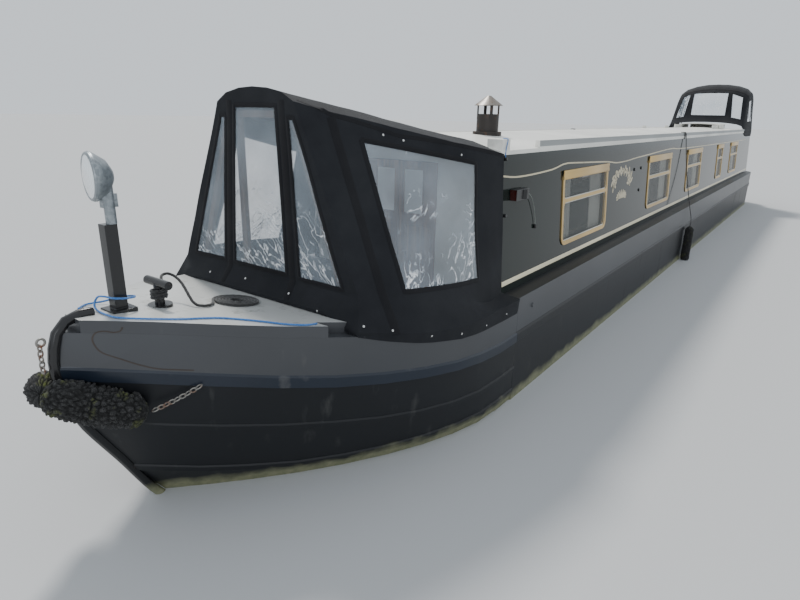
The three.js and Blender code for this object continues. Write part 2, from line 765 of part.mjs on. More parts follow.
function chimney() {
  const { x, y } = CHIMNEY;
  const foot = roofTop(y) - 18;
  const collar = post(x, y, foot, roofTop(y) + 24, 118, 18);
  const pipe = post(x, y, foot, roofTop(y) + 160, 90, 18);
  const straps = [0, 1, 2, 3].map((i) => {
    const a = ((i + 0.5) * Math.PI) / 2;
    const strap = box(-4, 4, -12, 12, roofTop(y) + 120, roofTop(y) + 240);
    return strap.rotateZ(a).translate(x + 86 * Math.cos(a), y + 86 * Math.sin(a), 0);
  });
  const hat = post(x, y, roofTop(y) + 225, roofTop(y) + 300, 118, 18, 16);
  return cut(join(collar, pipe, ...straps, hat), roofSlab(CHIMNEY.x - 200, CHIMNEY.x + 200, SEAT));
}

// Outline of the canvas over the well deck at each station: x at the top and at the foot, hem height,
// height of the fold at the foot, half width and height of the knee, of the crease between side and
// roof, and the ridge's height. The foot lies on the hull's side.
const COVER = [
  { x: 5840, footX: 5840, hem: 1180, footZ: 1288, knee: 902, kneeZ: 1305, crease: 845, creaseZ: 2236, ridge: 2350 },
  { x: 6100, footX: 6100, hem: 1186, footZ: 1290, knee: 948, kneeZ: 1318, crease: 768, creaseZ: 2290, ridge: 2396 },
  { x: 6450, footX: 6450, hem: 1204, footZ: 1292, knee: 955, kneeZ: 1420, crease: 646, creaseZ: 2362, ridge: 2462 },
  { x: 6800, footX: 6820, hem: 1262, footZ: 1328, knee: 890, kneeZ: 1500, crease: 490, creaseZ: 2438, ridge: 2530 },
  { x: 7020, footX: 7080, hem: 1330, footZ: 1376, knee: 796, kneeZ: 1560, crease: 384, creaseZ: 2486, ridge: 2572 },
  { x: 7155, footX: 7228, hem: 1380, footZ: 1408, knee: 746, kneeZ: 1560, crease: 312, creaseZ: 2522, ridge: 2598 },
];
const CLOTH = 14;

// Half of the cover's outline at a station, set in by the cloth's thickness for its inner face.
function coverArch(station, inset) {
  const { x, footX, hem, footZ, knee, kneeZ, crease, creaseZ, ridge } = station;
  const foot = plateHalf(footX, Math.min(hem, GUNWALE)) + CLOTH + 12 - inset;
  return [
    [footX, foot, hem],
    [footX, foot, footZ],
    [x, knee - inset, kneeZ],
    [x, crease - inset, creaseZ - inset * 0.5],
    [x, crease * 0.72, creaseZ + (ridge - creaseZ) * 0.62 - inset],
    [x, crease * 0.36, creaseZ + (ridge - creaseZ) * 0.92 - inset],
    [x, 0, ridge - inset],
  ];
}

function cratchCover() {
  const outer = skin(COVER.map((station) => ringOf(coverArch(station, 0))));
  const last = COVER.length - 1;
  const hollow = COVER.map((station, i) => ({
    ...station,
    hem: station.hem - 60,
    x: station.x - (i === last ? CLOTH : 0) - (i === 0 ? 40 : 0),
    footX: station.footX - (i === last ? CLOTH : 0) - (i === 0 ? 40 : 0),
  }));
  const inner = skin(hollow.map((station) => ringOf(coverArch(station, CLOTH))));
  const plating = skin(LINES.map((line) => ringOf(bowLine(line, 1, 0.4))));
  return cut(outer, inner, plating, foredeckSlab(0.6, 0.6), sideDeck());
}

// The straight hull side and cabin side just aft of the bow, grown a little, to trim the cloth.
function sideDeck() {
  const hull = box(5700, MID_FRONT + 1, -HALF_BEAM - 1, HALF_BEAM + 1, 900, GUNWALE + 1);
  const cabin = prismX(
    [
      [-SIDE_FOOT - 1, GUNWALE],
      [SIDE_FOOT + 1, GUNWALE],
      [SIDE_HEAD + 1, SIDE_TOP],
      [-SIDE_HEAD - 1, SIDE_TOP],
    ],
    5700,
    CABIN_FRONT + 1,
  );
  return join(hull, cabin);
}

// An extruded polygon: points in y and z between two stations in x, or in x and z between two in y.
function prismX(points, x0, x1) {
  const shape = new THREE.Shape(points.map(([y, z]) => new THREE.Vector2(y, z)));
  return alongX(shape, x0, x1);
}

function prismY(points, y0, y1) {
  const shape = new THREE.Shape(points.map(([x, z]) => new THREE.Vector2(x, z)));
  const made = new THREE.ExtrudeGeometry(shape, { depth: y1 - y0, bevelEnabled: false });
  return made.rotateX(Math.PI / 2).translate(0, y1, 0);
}

// The timber frame under the front of the canvas and the top plank that runs back to the roof.
function cratchFrame() {
  const board = prismX([[-690, 1380], [690, 1380], [275, 2478], [-275, 2478]], 7096, 7126);
  const lights = [
    [[-160, 1500], [160, 1500], [160, 2440], [-160, 2440]],
    [[200, 1500], [600, 1500], [270, 2390], [200, 2390]],
    [[-600, 1500], [-200, 1500], [-200, 2390], [-270, 2390]],
  ].map((points) => prismX(points, 7080, 7140));
  const beam = prismY(
    [
      [CABIN_FRONT + 12 + SEAT, 2296],
      [7110, 2455],
      [7110, 2478],
      [CABIN_FRONT + 12 + SEAT, 2321],
    ],
    -90,
    90,
  );
  const plating = skin(LINES.map((line) => ringOf(bowLine(line, 0.4, 0.4))));
  return cut(join(cut(board, ...lights), beam), plating);
}

// Stations of the hood over the cockpit: x, half width and height of its foot, half width and height
// of its shoulder, and crown. Its skirt hangs outside the cabin sides.
const HOOD = [
  { x: -6345, foot: 842, footZ: 2212, shoulder: 780, shoulderZ: 2338, crown: 2458 },
  { x: -6470, foot: 843, footZ: 2180, shoulder: 775, shoulderZ: 2490, crown: 2620 },
  { x: -6790, foot: 845, footZ: 2150, shoulder: 762, shoulderZ: 2940, crown: 3170 },
  { x: -7200, foot: 845, footZ: 2150, shoulder: 772, shoulderZ: 3030, crown: 3335 },
  { x: -7640, foot: 845, footZ: 2150, shoulder: 762, shoulderZ: 2990, crown: 3280 },
];

// The arch from shoulder to crown: share of the half width and of the rise.
const HOOD_ARCH = [
  [1, 0],
  [0.97, 0.34],
  [0.84, 0.64],
  [0.6, 0.85],
  [0.3, 0.97],
  [0, 1],
];

function hoodArch({ x, foot, footZ, shoulder, shoulderZ, crown }, inset, drop) {
  const arch = HOOD_ARCH.map(([w, h]) => [x, w * (shoulder - inset), shoulderZ + h * (crown - inset - shoulderZ)]);
  return [[x, foot - inset, footZ - drop], [x, foot - inset, SIDE_TOP + 24], ...arch];
}

function pramHood() {
  const outer = skin(HOOD.map((station) => ringOf(hoodArch(station, 0, 0))));
  const hollow = HOOD.map((station, i) => {
    const shift = i === 0 ? 0 : i === HOOD.length - 1 ? -40 : -10;
    return { ...station, x: station.x + shift };
  });
  hollow[0] = { ...hollow[0], x: hollow[0].x + 40 };
  const inner = skin(hollow.map((station) => ringOf(hoodArch(station, CLOTH, 60))));
  const side = prismX(
    [
      [-SIDE_FOOT - SEAT, GUNWALE],
      [SIDE_FOOT + SEAT, GUNWALE],
      [SIDE_HEAD + SEAT, SIDE_TOP],
      [SIDE_HEAD + SEAT, 2333],
      [-SIDE_HEAD - SEAT, 2333],
      [-SIDE_HEAD - SEAT, SIDE_TOP],
    ],
    CABIN_END - 100,
    -6300,
  );
  return cut(outer, inner, box(-6500, -6200, -SIDE_HEAD - SEAT, SIDE_HEAD + SEAT, 2100, 2313), side);
}

const HOOP_SEAT = 12;

// A bow that carries the hood, standing on the cabin sides.
function pramHoop(station) {
  const half = hoodArch({ ...station, foot: 832 }, 42, 0).slice(2);
  const feet = [[station.x, 790, SIDE_TOP + HOOP_SEAT / 2]];
  const points = ringOf([...feet, ...half]).map(([x, y, z]) => v(x, y, z));
  const { x } = station;
  const pads = [1, -1].map((side) => {
    const pad = box(x - 30, x + 30, 783, 827, SIDE_TOP + SEAT, SIDE_TOP + HOOP_SEAT);
    return side > 0 ? pad : pad.rotateZ(Math.PI).translate(2 * x, 0, 0);
  });
  const trim = box(x - 100, x + 100, -900, 900, 2000, SIDE_TOP + SEAT);
  return cut(join(tube(points, 12, 28, 8), ...pads), trim);
}

const SHAFT_Z = 265;
const PROP_X = -7640;
const RUDDER_X = -7990;

const hubCore = () => barX(PROP_X - 50, PROP_X + 50, 0, SHAFT_Z, 33, 16);

function propeller() {
  const hub = join(
    barX(PROP_X - 60, POST_X - 60.5, 0, SHAFT_Z, 34, 16),
    barX(PROP_X, POST_X - 10, 0, SHAFT_Z, SHAFT, 24),
  );
  const blades = [0, 1, 2].map((i) => {
    const shape = new THREE.Shape();
    shape.moveTo(-22, 0);
    shape.bezierCurveTo(-120, 60, -120, 170, -20, 190);
    shape.bezierCurveTo(80, 180, 110, 80, 22, 0);
    const blade = new THREE.ExtrudeGeometry(shape, { depth: 9, bevelEnabled: false, curveSegments: 6 });
    blade.translate(0, 15, -4.5).rotateY((55 * Math.PI) / 180);
    blade.rotateX(Math.PI / 2 + (2 * Math.PI * i) / 3);
    return blade.translate(PROP_X, 0, SHAFT_Z);
  });
  const trim = barX(PROP_X - 200, PROP_X + 200, 0, SHAFT_Z, 187, 36);
  const bladesOnly = geometryOf(solid(join(...blades.map((b) => b), hubCore())).intersect(solid(trim)));
  return join(hub, bladesOnly);
}

function rudder() {
  const blade = box(-8345, -7868, -12, 12, 92, 452);
  const stock = post(RUDDER_X, 0, 31, GUNWALE + 70, STOCK, 24);
  const collar = post(RUDDER_X, 0, GUNWALE + 0.5, GUNWALE + 14, 44, 16);
  return join(blade, stock, collar);
}

// The bar under the hull that carries the rudder's foot.
function skeg() {
  const bar = box(-8060, POST_X - SEAT, -40, 40, 0, 28);
  const cup = post(RUDDER_X, 0, 0, 50, 38, 24);
  const socket = post(RUDDER_X, 0, 30, 80, STOCK_BORE, 24);
  return cut(join(bar, cup), socket);
}

function tiller() {
  const neck = tube(
    [
      v(RUDDER_X, 0, GUNWALE + 70 + SEAT),
      v(RUDDER_X, 0, 1440),
      v(RUDDER_X - 30, 0, 1560),
      v(RUDDER_X - 30, 0, 1680),
      v(RUDDER_X + 40, 0, 1790),
      v(RUDDER_X + 160, 0, 1840),
    ],
    20,
    18,
    10,
  );
  const start = v(RUDDER_X + 150, 0, 1836);
  const end = v(-7050, 0, 1930);
  const arm = tube([start, end], 14, 1, 10);
  const grip = tube([v(-7180, 0, 1916), v(-6960, 0, 1939)], 20, 1, 12);
  return join(neck, arm, grip);
}

function engine() {
  return box(-6950, -6420, -200, 200, CABIN_FLOOR + SEAT, 690);
}

function navLight() {
  const body = box(5490, 5690, 0, 52, 1925, 2000);
  const lens = post(5560, 46, 1930, 1995, 26, 12);
  const y = SIDE_FOOT - LEAN * (1925 - GUNWALE) + 1;
  return join(body, lens).translate(0, y, 0);
}

// A sausage fender hung on a rope from a hook over the handrail.
const FENDER = { x: 120, radius: 62, low: 470, high: 1010 };
const FENDER_Y = HALF_BEAM + 11 + FENDER.radius + SEAT;

function sideFender() {
  const { x, radius, low, high } = FENDER;
  const body = post(x, FENDER_Y, low + 40, high - 40, radius, 16);
  const foot = post(x, FENDER_Y, low, low + 41, 30, 16, radius);
  const head = post(x, FENDER_Y, high - 41, high, radius, 16, 20);
  return join(body, foot, head);
}

// The flat hook over the handrail, and the line from it to the fender.
function fenderHook() {
  const { x } = FENDER;
  const top = box(x - 22, x + 22, 778, 838, 2312 + SEAT, 2320);
  const outer = box(x - 22, x + 22, SIDE_HEAD + 1, 838, 2225, 2320);
  const lip = box(x - 22, x + 22, 778, 786, 2285, 2320);
  return join(top, outer, lip);
}

function fenderLine() {
  const { x } = FENDER;
  const points = [
    v(x, 843.8, 2300),
    v(x, 854, 2222),
    v(x, 930, 1780),
    v(x, 1052, 1290),
    v(x, FENDER_Y - 20, 1180),
    v(x, FENDER_Y, 1080),
    v(x, FENDER_Y, FENDER.high + SEAT),
  ];
  return tube(points, 5, 24, 8);
}

function curtains() {
  const depth = -SIDE_THICK - 18 - 0.5;
  const railZ = WINDOW_SILL + WINDOW_HEIGHT + 22;
  const cloth = (x, length, z, height, thick, inset) => {
    const shape = new THREE.Shape();
    shape.moveTo(x, z);
    shape.lineTo(x + length, z);
    shape.lineTo(x + length, z + height);
    shape.lineTo(x, z + height);
    return onSide(shape, thick, depth + inset, 1);
  };
  const after = WINDOWS[4].front - WINDOWS[4].length - 60;
  const pieces = [cloth(after, WINDOWS[0].front + 60 - after, railZ, 14, 18, 0)];
  for (const { front, length } of WINDOWS)
    for (const x of [front - 330, front - length])
      pieces.push(cloth(x, 330, WINDOW_SILL - 20, railZ - WINDOW_SILL + 26, 12, 3));
  return join(...pieces);
}

// A flat coil of rope on the foredeck.
const COIL = { x: 7426, y: 94, radius: 128 };

function deckCoil(set = 0) {
  const z = deckHeight(COIL.x);
  const radius = COIL.radius + set;
  const profile = [
    [0, -20],
    [radius, -20],
    [radius + 4, 8],
    [radius, 20 + set],
    [0, 20 + set],
  ].map(([r, h]) => new THREE.Vector2(r, h));
  const ring = new THREE.LatheGeometry(profile, 28).rotateX(Math.PI / 2);
  ring.rotateY(Math.atan(deckSlope())).translate(COIL.x, COIL.y, z);
  return onDeck(ring);
}

// The turns of the black line round the stud, below its crossbar.
const TURNS = { inner: STUD_STEM + 0.6, outer: 46, low: 30, high: 95 };

function studTurns(set = 0) {
  const { inner, low, high } = TURNS;
  const outer = TURNS.outer + set;
  const profile = [
    [inner, low],
    [outer - 8, low],
    [outer, low + 12],
    [outer, high - 12],
    [outer - 8, high],
    [inner, high],
    [inner, low],
  ].map(([r, h]) => new THREE.Vector2(r, h));
  const foot = deckHeight(T_STUD.x);
  return new THREE.LatheGeometry(profile, 20).rotateX(Math.PI / 2).translate(T_STUD.x, 0, foot);
}

// The black line's loop from the turns to the coil: x, y and height above where it lies.
const BLACK_LINE = [
  [7772, -14, 50],
  [7756, -44, 84],
  [7738, -76, 120],
  [7718, -96, 134],
  [7700, -80, 128],
  [7696, -36, 98],
  [7700, 20, 56],
  [7704, 70, 22],
  [7694, 106, 3],
  [7664, 120, 2],
  [7626, 104, 2],
  [7590, 62, 2],
  [7564, 20, 2],
  [7546, -6, 2],
  [7530, -2, 4],
  [7516, 10, 4],
  [7514, 12, 4],
];

// The blue line: from the stem, once round the lamp post above its foot, and aft along the deck's edge.
const BLUE_LINE = [
  [8166, -96, 2],
  [8104, -150, 2],
  [8030, -136, 10],
  [7966, -74, 40],
  [7950, 0, 58],
  [7970, 44, 62],
  [8025, 62, 65],
  [8070, 46, 68],
  [8090, 0, 70],
  [8096, -46, 58],
  [8112, -52, 26],
  [8120, -20, 5],
  [8122, 50, 2],
  [8112, 130, 2],
  [8064, 190, 2],
  [7985, 254, 2],
  [7890, 300, 0.3],
  [7800, 330, 0.3],
  [7720, 366, 0.3],
  [7650, 436, 0.3],
  [7590, 512, 0.3],
  [7530, 600, 0.3],
  [7460, 660, 0.3],
  [7390, 672, 0.3],
];

function lineOnDeck(route, radius, steps) {
  const points = route.map(([x, y, rise]) => v(x, y, deckHeight(x) + radius + SEAT + rise));
  return tube(points, radius, steps, 8);
}

const deckSlope = () =>
  (deckHeight(COIL.x - COIL.radius) - deckHeight(COIL.x + COIL.radius)) / (2 * COIL.radius);

addPair("hull_side", hullSide(), FINISH.bitumen);
add("hull_bow", hullBow(), FINISH.bitumen);
add("hull_stern", hullStern(), FINISH.bitumen);
add("base_plate", basePlate(), FINISH.bitumen);
add("skeg", skeg(), FINISH.bitumen);
const side = HALF_BEAM - WALL - 1;
add("cabin_floor", box(MID_BACK + 1, MID_FRONT - 1, -side, side, PLATE + SEAT, CABIN_FLOOR), FINISH.wood);
add("stem_bar", stemBar(), FINISH.bitumen);
const beyondDeck = box(DECK_TIP, BOW_END, -200, 200, 1300, 1800);
add("foredeck", cut(foredeckSlab(0, 0), stemTube(STEM_RADIUS + 1), beyondDeck), FINISH.grey);
add("headlamp_post", headlampPost(), FINISH.bitumen);
add("headlamp", headlamp(), FINISH.galvanised);
add("bow_t_stud", tStud(), FINISH.bitumen);
add("bow_fender", bowFender(), FINISH.rope);
addPair("cabin_side", sidePanel(), FINISH.gloss);
add("roof", roof(), FINISH.cream);
WINDOWS.forEach((place, i) => addPair("window_" + (i + 1), windowUnit(place), FINISH.gold));
addPair("curtains", curtains(), FINISH.curtain);
add("front_bulkhead", frontBulkhead(), FINISH.wood);
addPair("rear_bulkhead", bulkheadHalf(-6350, -6301), FINISH.gloss);
addPair("front_door", door(CABIN_FRONT - 5, 1, 706, DOOR_HEAD, CABIN_FRONT - 1), FINISH.wood);
addPair("rear_door", door(-6345, -1, 936, 2244, -6350), FINISH.gloss);
add("slide_hatch", slideHatch(), FINISH.cream);
add("chimney", chimney(), FINISH.rust);
addPair("nav_light", navLight(), FINISH.lamp);
add("cratch_cover", cratchCover(), FINISH.canvas);
add("cratch_frame", cratchFrame(), FINISH.wood);
add("pram_hood", pramHood(), FINISH.canvas);
add("pram_hoop_front", pramHoop({ ...HOOD[2], x: -6830 }), FINISH.galvanised);
add("pram_hoop_rear", pramHoop({ ...HOOD[4], x: -7600 }), FINISH.galvanised);
add("propeller", propeller(), FINISH.bronze);
add("rudder", rudder(), FINISH.bitumen);
add("tiller", tiller(), FINISH.brass);
add("engine", engine(), FINISH.steel);
add("engine_board", box(-7100, -6395, -400, 400, COCKPIT_FLOOR + SEAT, COCKPIT_FLOOR + 20), FINISH.wood);
add("stern_fender", sternFender(), FINISH.rope);
addPair("side_fender", sideFender(), FINISH.rope);
addPair("fender_hook", fenderHook(), FINISH.lamp);
addPair("fender_line", fenderLine(), FINISH.rope);
add("deck_coil", deckCoil(), FINISH.rope);
add("stud_turns", studTurns(), FINISH.rope);
add("black_line", cut(lineOnDeck(BLACK_LINE, 8, 44), deckCoil(0.4), studTurns(0.4)), FINISH.rope);
add("blue_line", lineOnDeck(BLUE_LINE, 5, 80), FINISH.blueRope);

export default group;
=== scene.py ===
import math

import bpy
from mathutils import Matrix, Vector, noise
from mathutils.bvhtree import BVHTree


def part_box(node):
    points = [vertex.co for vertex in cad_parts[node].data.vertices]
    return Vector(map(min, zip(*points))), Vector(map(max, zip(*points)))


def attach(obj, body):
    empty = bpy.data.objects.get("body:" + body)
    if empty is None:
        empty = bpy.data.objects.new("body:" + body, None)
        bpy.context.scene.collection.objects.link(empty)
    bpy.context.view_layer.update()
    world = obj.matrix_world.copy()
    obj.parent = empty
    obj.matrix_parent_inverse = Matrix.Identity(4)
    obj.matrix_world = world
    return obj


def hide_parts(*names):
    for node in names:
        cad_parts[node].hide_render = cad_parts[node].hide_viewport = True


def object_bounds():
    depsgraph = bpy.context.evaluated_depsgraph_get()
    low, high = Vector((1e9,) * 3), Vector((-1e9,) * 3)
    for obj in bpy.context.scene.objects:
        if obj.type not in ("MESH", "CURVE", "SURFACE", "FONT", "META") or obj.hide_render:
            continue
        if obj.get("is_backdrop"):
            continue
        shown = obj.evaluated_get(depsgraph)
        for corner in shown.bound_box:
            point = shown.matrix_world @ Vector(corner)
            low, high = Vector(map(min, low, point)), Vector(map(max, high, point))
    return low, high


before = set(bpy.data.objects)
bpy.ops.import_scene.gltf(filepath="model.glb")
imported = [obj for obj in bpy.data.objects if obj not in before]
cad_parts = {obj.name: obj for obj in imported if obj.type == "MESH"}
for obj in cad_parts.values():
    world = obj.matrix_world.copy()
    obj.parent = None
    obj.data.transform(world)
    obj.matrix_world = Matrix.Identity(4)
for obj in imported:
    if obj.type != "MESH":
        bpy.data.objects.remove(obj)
cad_box = [list(corner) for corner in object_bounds()]

# The studio: a pale floor at the height of the waterline, a bright even sky, a broad sun high over the
# starboard quarter and a weak soft light ahead of the bow.
WATERLINE, FLOOR_SIZE = 0.5, 400
bpy.ops.mesh.primitive_plane_add(size=FLOOR_SIZE, location=(0, 0, WATERLINE))
floor = bpy.context.object
floor.name = "studio_floor"
floor_paint = bpy.data.materials.new("studio_floor")
floor_paint.use_nodes = True
floor_shader = floor_paint.node_tree.nodes["Principled BSDF"]
floor_shader.inputs["Base Color"].default_value = (0.47, 0.48, 0.49, 1)
floor_shader.inputs["Roughness"].default_value = 0.9
floor.data.materials.append(floor_paint)
floor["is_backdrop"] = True

sky = bpy.data.worlds.new("studio_sky")
sky.use_nodes = True
sky.node_tree.nodes["Background"].inputs["Color"].default_value = (0.88, 0.94, 1.0, 1)
sky.node_tree.nodes["Background"].inputs["Strength"].default_value = 0.95
bpy.context.scene.world = sky

bpy.ops.object.light_add(type="SUN", location=(-6, -10, 14))
sun = bpy.context.object
sun.name = "broad_sun"
sun.data.energy = 3.2
sun.data.angle = math.radians(9)
sun.data.color = (1.0, 0.97, 0.92)
sun.rotation_euler = Vector((0.42, 0.62, -1.0)).to_track_quat("-Z", "Y").to_euler()

BOW_LIGHT_PLACE, BOW_LIGHT_AIM = Vector((17, 6, 6)), Vector((7, 0, 1.4))
bpy.ops.object.light_add(type="AREA", location=BOW_LIGHT_PLACE)
bow_light = bpy.context.object
bow_light.name = "bow_light"
bow_light.data.size = 6
bow_light.data.energy = 260
bow_light.data.color = (0.93, 0.96, 1.0)
bow_light.rotation_euler = (BOW_LIGHT_AIM - BOW_LIGHT_PLACE).to_track_quat("-Z", "Y").to_euler()

# The camera: a little above eye level off the port bow, looking aft along the side, turned down and
# rolled slightly, as fitted to the gunwale, the windows and the cover in the photograph.
CAMERA_PLACE = (9.295, 2.57175, 2.4688)
CAMERA_YAW, CAMERA_PITCH, CAMERA_ROLL = 0.630438, 0.314487, 0.020921
CAMERA_LENS, CAMERA_SENSOR = 25.5917, 36.0
ahead = Vector((-math.cos(CAMERA_YAW), -math.sin(CAMERA_YAW), 0))
right = ahead.cross(Vector((0, 0, 1)))
look = math.cos(CAMERA_PITCH) * ahead - math.sin(CAMERA_PITCH) * Vector((0, 0, 1))
up = right.cross(look)
camera_right = math.cos(CAMERA_ROLL) * right + math.sin(CAMERA_ROLL) * up
camera_up = math.cos(CAMERA_ROLL) * up - math.sin(CAMERA_ROLL) * right
turn = Matrix((camera_right, camera_up, -look)).transposed().to_4x4()
bpy.ops.object.camera_add()
camera = bpy.context.object
camera.name = "photo_camera"
camera.matrix_world = Matrix.Translation(CAMERA_PLACE) @ turn
camera.data.lens = CAMERA_LENS
camera.data.sensor_width = CAMERA_SENSOR
camera.data.clip_end = 300
bpy.context.scene.camera = camera


# The hull: 6 mm steel plate, welded and blacked with bitumen, which has gone grey and is scuffed along
# the strakes, with a greenish tide line at the water. The bow's upper panels are grey satin paint, the
# stem bar and the fittings on the foredeck are black gloss.
def shader_group(name, inputs, outputs):
    """An empty node group with named inputs (name, socket kind, value) and outputs (name, kind)."""
    tree = bpy.data.node_groups.new(name, "ShaderNodeTree")
    for label, kind, value in inputs:
        socket = tree.interface.new_socket(name=label, in_out="INPUT", socket_type="NodeSocket" + kind)
        socket.default_value = value
    for label, kind in outputs:
        tree.interface.new_socket(name=label, in_out="OUTPUT", socket_type="NodeSocket" + kind)
    return tree, tree.nodes.new("NodeGroupInput").outputs, tree.nodes.new("NodeGroupOutput").inputs


def feed(tree, entry, value):
    """Links a socket to a node's input, or sets the input to a plain value."""
    if isinstance(value, bpy.types.NodeSocket):
        tree.links.new(value, entry)
    else:
        entry.default_value = value


def put(tree, kind, *ordered, output=0, operation=None, **named):
    """An output of a new node, whose inputs are given by order or by name."""
    made = tree.nodes.new("ShaderNode" + kind)
    if operation:
        made.operation = operation
    for key, value in [*enumerate(ordered), *named.items()]:
        feed(tree, made.inputs[key], value)
    return made.outputs[output]


def blended(tree, kind, factor, first, second):
    """The second value or colour over the first by a factor; each is a socket or a plain value."""
    made = tree.nodes.new("ShaderNodeMix")
    made.data_type = kind
    first_key, result = (2, 0) if kind == "FLOAT" else (6, 2)
    for key, value in ((0, factor), (first_key, first), (first_key + 1, second)):
        feed(tree, made.inputs[key], value)
    return made.outputs[result]


weather, worn_in, worn_out = shader_group(
    "weathering",
    [
        ("Colour", "Color", (0.5, 0.5, 0.5, 1)),
        ("Dirt", "Color", (0.1, 0.1, 0.1, 1)),
        ("Amount", "Float", 0.4),
        ("Scale", "Float", 3.0),
        ("Streaks", "Float", 0.4),
        ("Gloss", "Float", 0.3),
        ("Dull", "Float", 0.7),
    ],
    [("Colour", "Color"), ("Roughness", "Float"), ("Height", "Float")],
)
place = put(weather, "TexCoord", output="Object")
cloud = put(weather, "TexNoise", place, Scale=worn_in["Scale"], Detail=9.0, Roughness=0.62)
tall = put(weather, "Mapping", place, Scale=(14.0, 14.0, 0.9))
run_off = put(weather, "TexNoise", tall, Scale=1.0, Detail=5.0)
soiled = blended(weather, "FLOAT", worn_in["Streaks"], cloud, run_off)
low = put(weather, "Math", worn_in["Amount"], -0.42, 0.74, operation="MULTIPLY_ADD")
high = put(weather, "Math", low, 0.16, operation="ADD")
mask = put(weather, "MapRange", soiled, low, high)
tone = put(weather, "TexNoise", place, Scale=0.9, Detail=3.0)
shade = put(weather, "MapRange", tone, 0.3, 0.7, 0.82, 1.16)
base = put(weather, "VectorMath", worn_in["Colour"], Scale=shade, operation="SCALE")
feed(weather, worn_out["Colour"], blended(weather, "RGBA", mask, base, worn_in["Dirt"]))
feed(weather, worn_out["Roughness"], blended(weather, "FLOAT", mask, worn_in["Gloss"], worn_in["Dull"]))
feed(weather, worn_out["Height"], cloud)


def shader_of(finish):
    return finish.node_tree.nodes["Principled BSDF"]


def material_of(name, group, values, strength, relief, shader_values):
    """A material whose colour and relief come from a node group with its own values."""
    finish = bpy.data.materials.new(name)
    finish.use_nodes = True
    tree, shader = finish.node_tree, shader_of(finish)
    for label, value in shader_values.items():
        shader.inputs[label].default_value = value
    look = tree.nodes.new("ShaderNodeGroup")
    look.node_tree = group
    for label, value in values.items():
        look.inputs[label].default_value = value
    raised = put(tree, "Bump", Height=look.outputs["Height"], Strength=strength, Distance=relief)
    tree.links.new(look.outputs["Colour"], shader.inputs["Base Color"])
    tree.links.new(raised, shader.inputs["Normal"])
    return finish, look


def coated(name, colour, dirt, amount, scale, streaks, gloss, dull, relief, also=()):
    """A painted or bare surface with weathering; also holds further values of its shader."""
    values = {"Colour": (*colour, 1), "Dirt": (*dirt, 1), "Amount": amount, "Scale": scale}
    values |= {"Streaks": streaks, "Gloss": gloss, "Dull": dull}
    finish, look = material_of(name, weather, values, 0.5, relief, dict(also))
    finish.node_tree.links.new(look.outputs["Roughness"], shader_of(finish).inputs["Roughness"])
    return finish


def only(*pieces):
    bpy.ops.object.select_all(action="DESELECT")
    for piece in pieces:
        piece.select_set(True)
    bpy.context.view_layer.objects.active = pieces[0]


def open_mesh(piece, action="SELECT"):
    """Goes into edit mode on one piece, with all of it selected or none."""
    only(piece)
    bpy.ops.object.mode_set(mode="EDIT")
    bpy.ops.mesh.select_all(action=action)


def close_mesh():
    bpy.ops.object.mode_set(mode="OBJECT")


def modified(piece, kind, **values):
    """Gives a piece a modifier with its values and applies it."""
    only(piece)
    made = piece.modifiers.new(kind.lower(), kind)
    for label, value in values.items():
        setattr(made, label, value)
    bpy.ops.object.modifier_apply(modifier=made.name)


def smoothed(piece, degrees=None):
    """Shades a piece smooth all over, or only across edges flatter than an angle."""
    only(piece)
    if degrees is None:
        bpy.ops.object.shade_smooth()
    else:
        bpy.ops.object.shade_smooth_by_angle(angle=math.radians(degrees))


def softened(piece, edge, angle, smooth):
    """Rounds the edges sharper than an angle and keeps the flat faces looking flat."""
    modified(piece, "BEVEL", width=edge, segments=2, limit_method="ANGLE", angle_limit=math.radians(angle))
    smoothed(piece, smooth)
    modified(piece, "WEIGHTED_NORMAL", keep_sharp=True)


def fitted(piece, slot, *finishes, body="boat"):
    """Gives a piece its finishes and fits it to a body."""
    for finish in finishes:
        piece.data.materials.append(finish)
    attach(piece, body)
    return piece


def dressed(node, name, slot, *finishes, body="boat", edge=0.003, angle=32, smooth=32):
    """A merged copy of a CAD node with rounded edges and smooth curved faces, in place of the node."""
    piece = bpy.data.objects.new(name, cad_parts[node].data.copy())
    bpy.context.collection.objects.link(piece)
    piece.data.materials.clear()
    open_mesh(piece)
    bpy.ops.mesh.remove_doubles(threshold=0.00005)
    bpy.ops.mesh.dissolve_limited(angle_limit=math.radians(0.4))
    close_mesh()
    if edge:
        softened(piece, edge, angle, smooth)
    else:
        smoothed(piece, smooth)
    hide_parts(node)
    return fitted(piece, slot, *finishes, body=body)


def painted(piece, number, chosen):
    """Gives the faces that pass a test the piece's finish of that number."""
    for face in piece.data.polygons:
        if chosen(face):
            face.material_index = number


def tide_line(finish):
    """Weed and silt over a paint, from just above the waterline down."""
    tree, base = finish.node_tree, shader_of(finish).inputs["Base Color"]
    place = put(tree, "TexCoord", output="Object")
    height = put(tree, "SeparateXYZ", place, output="Z")
    ragged = put(tree, "TexNoise", place, Scale=7.0, Detail=6.0)
    edge = put(tree, "Math", ragged, -0.11, height, operation="MULTIPLY_ADD")
    weed = put(tree, "MapRange", edge, 0.535, 0.475)
    slime = put(tree, "TexNoise", place, Scale=30.0, Detail=5.0)
    slimy = blended(tree, "RGBA", slime, (0.10, 0.115, 0.05, 1), (0.30, 0.29, 0.19, 1))
    feed(tree, base, blended(tree, "RGBA", weed, base.links[0].from_socket, slimy))


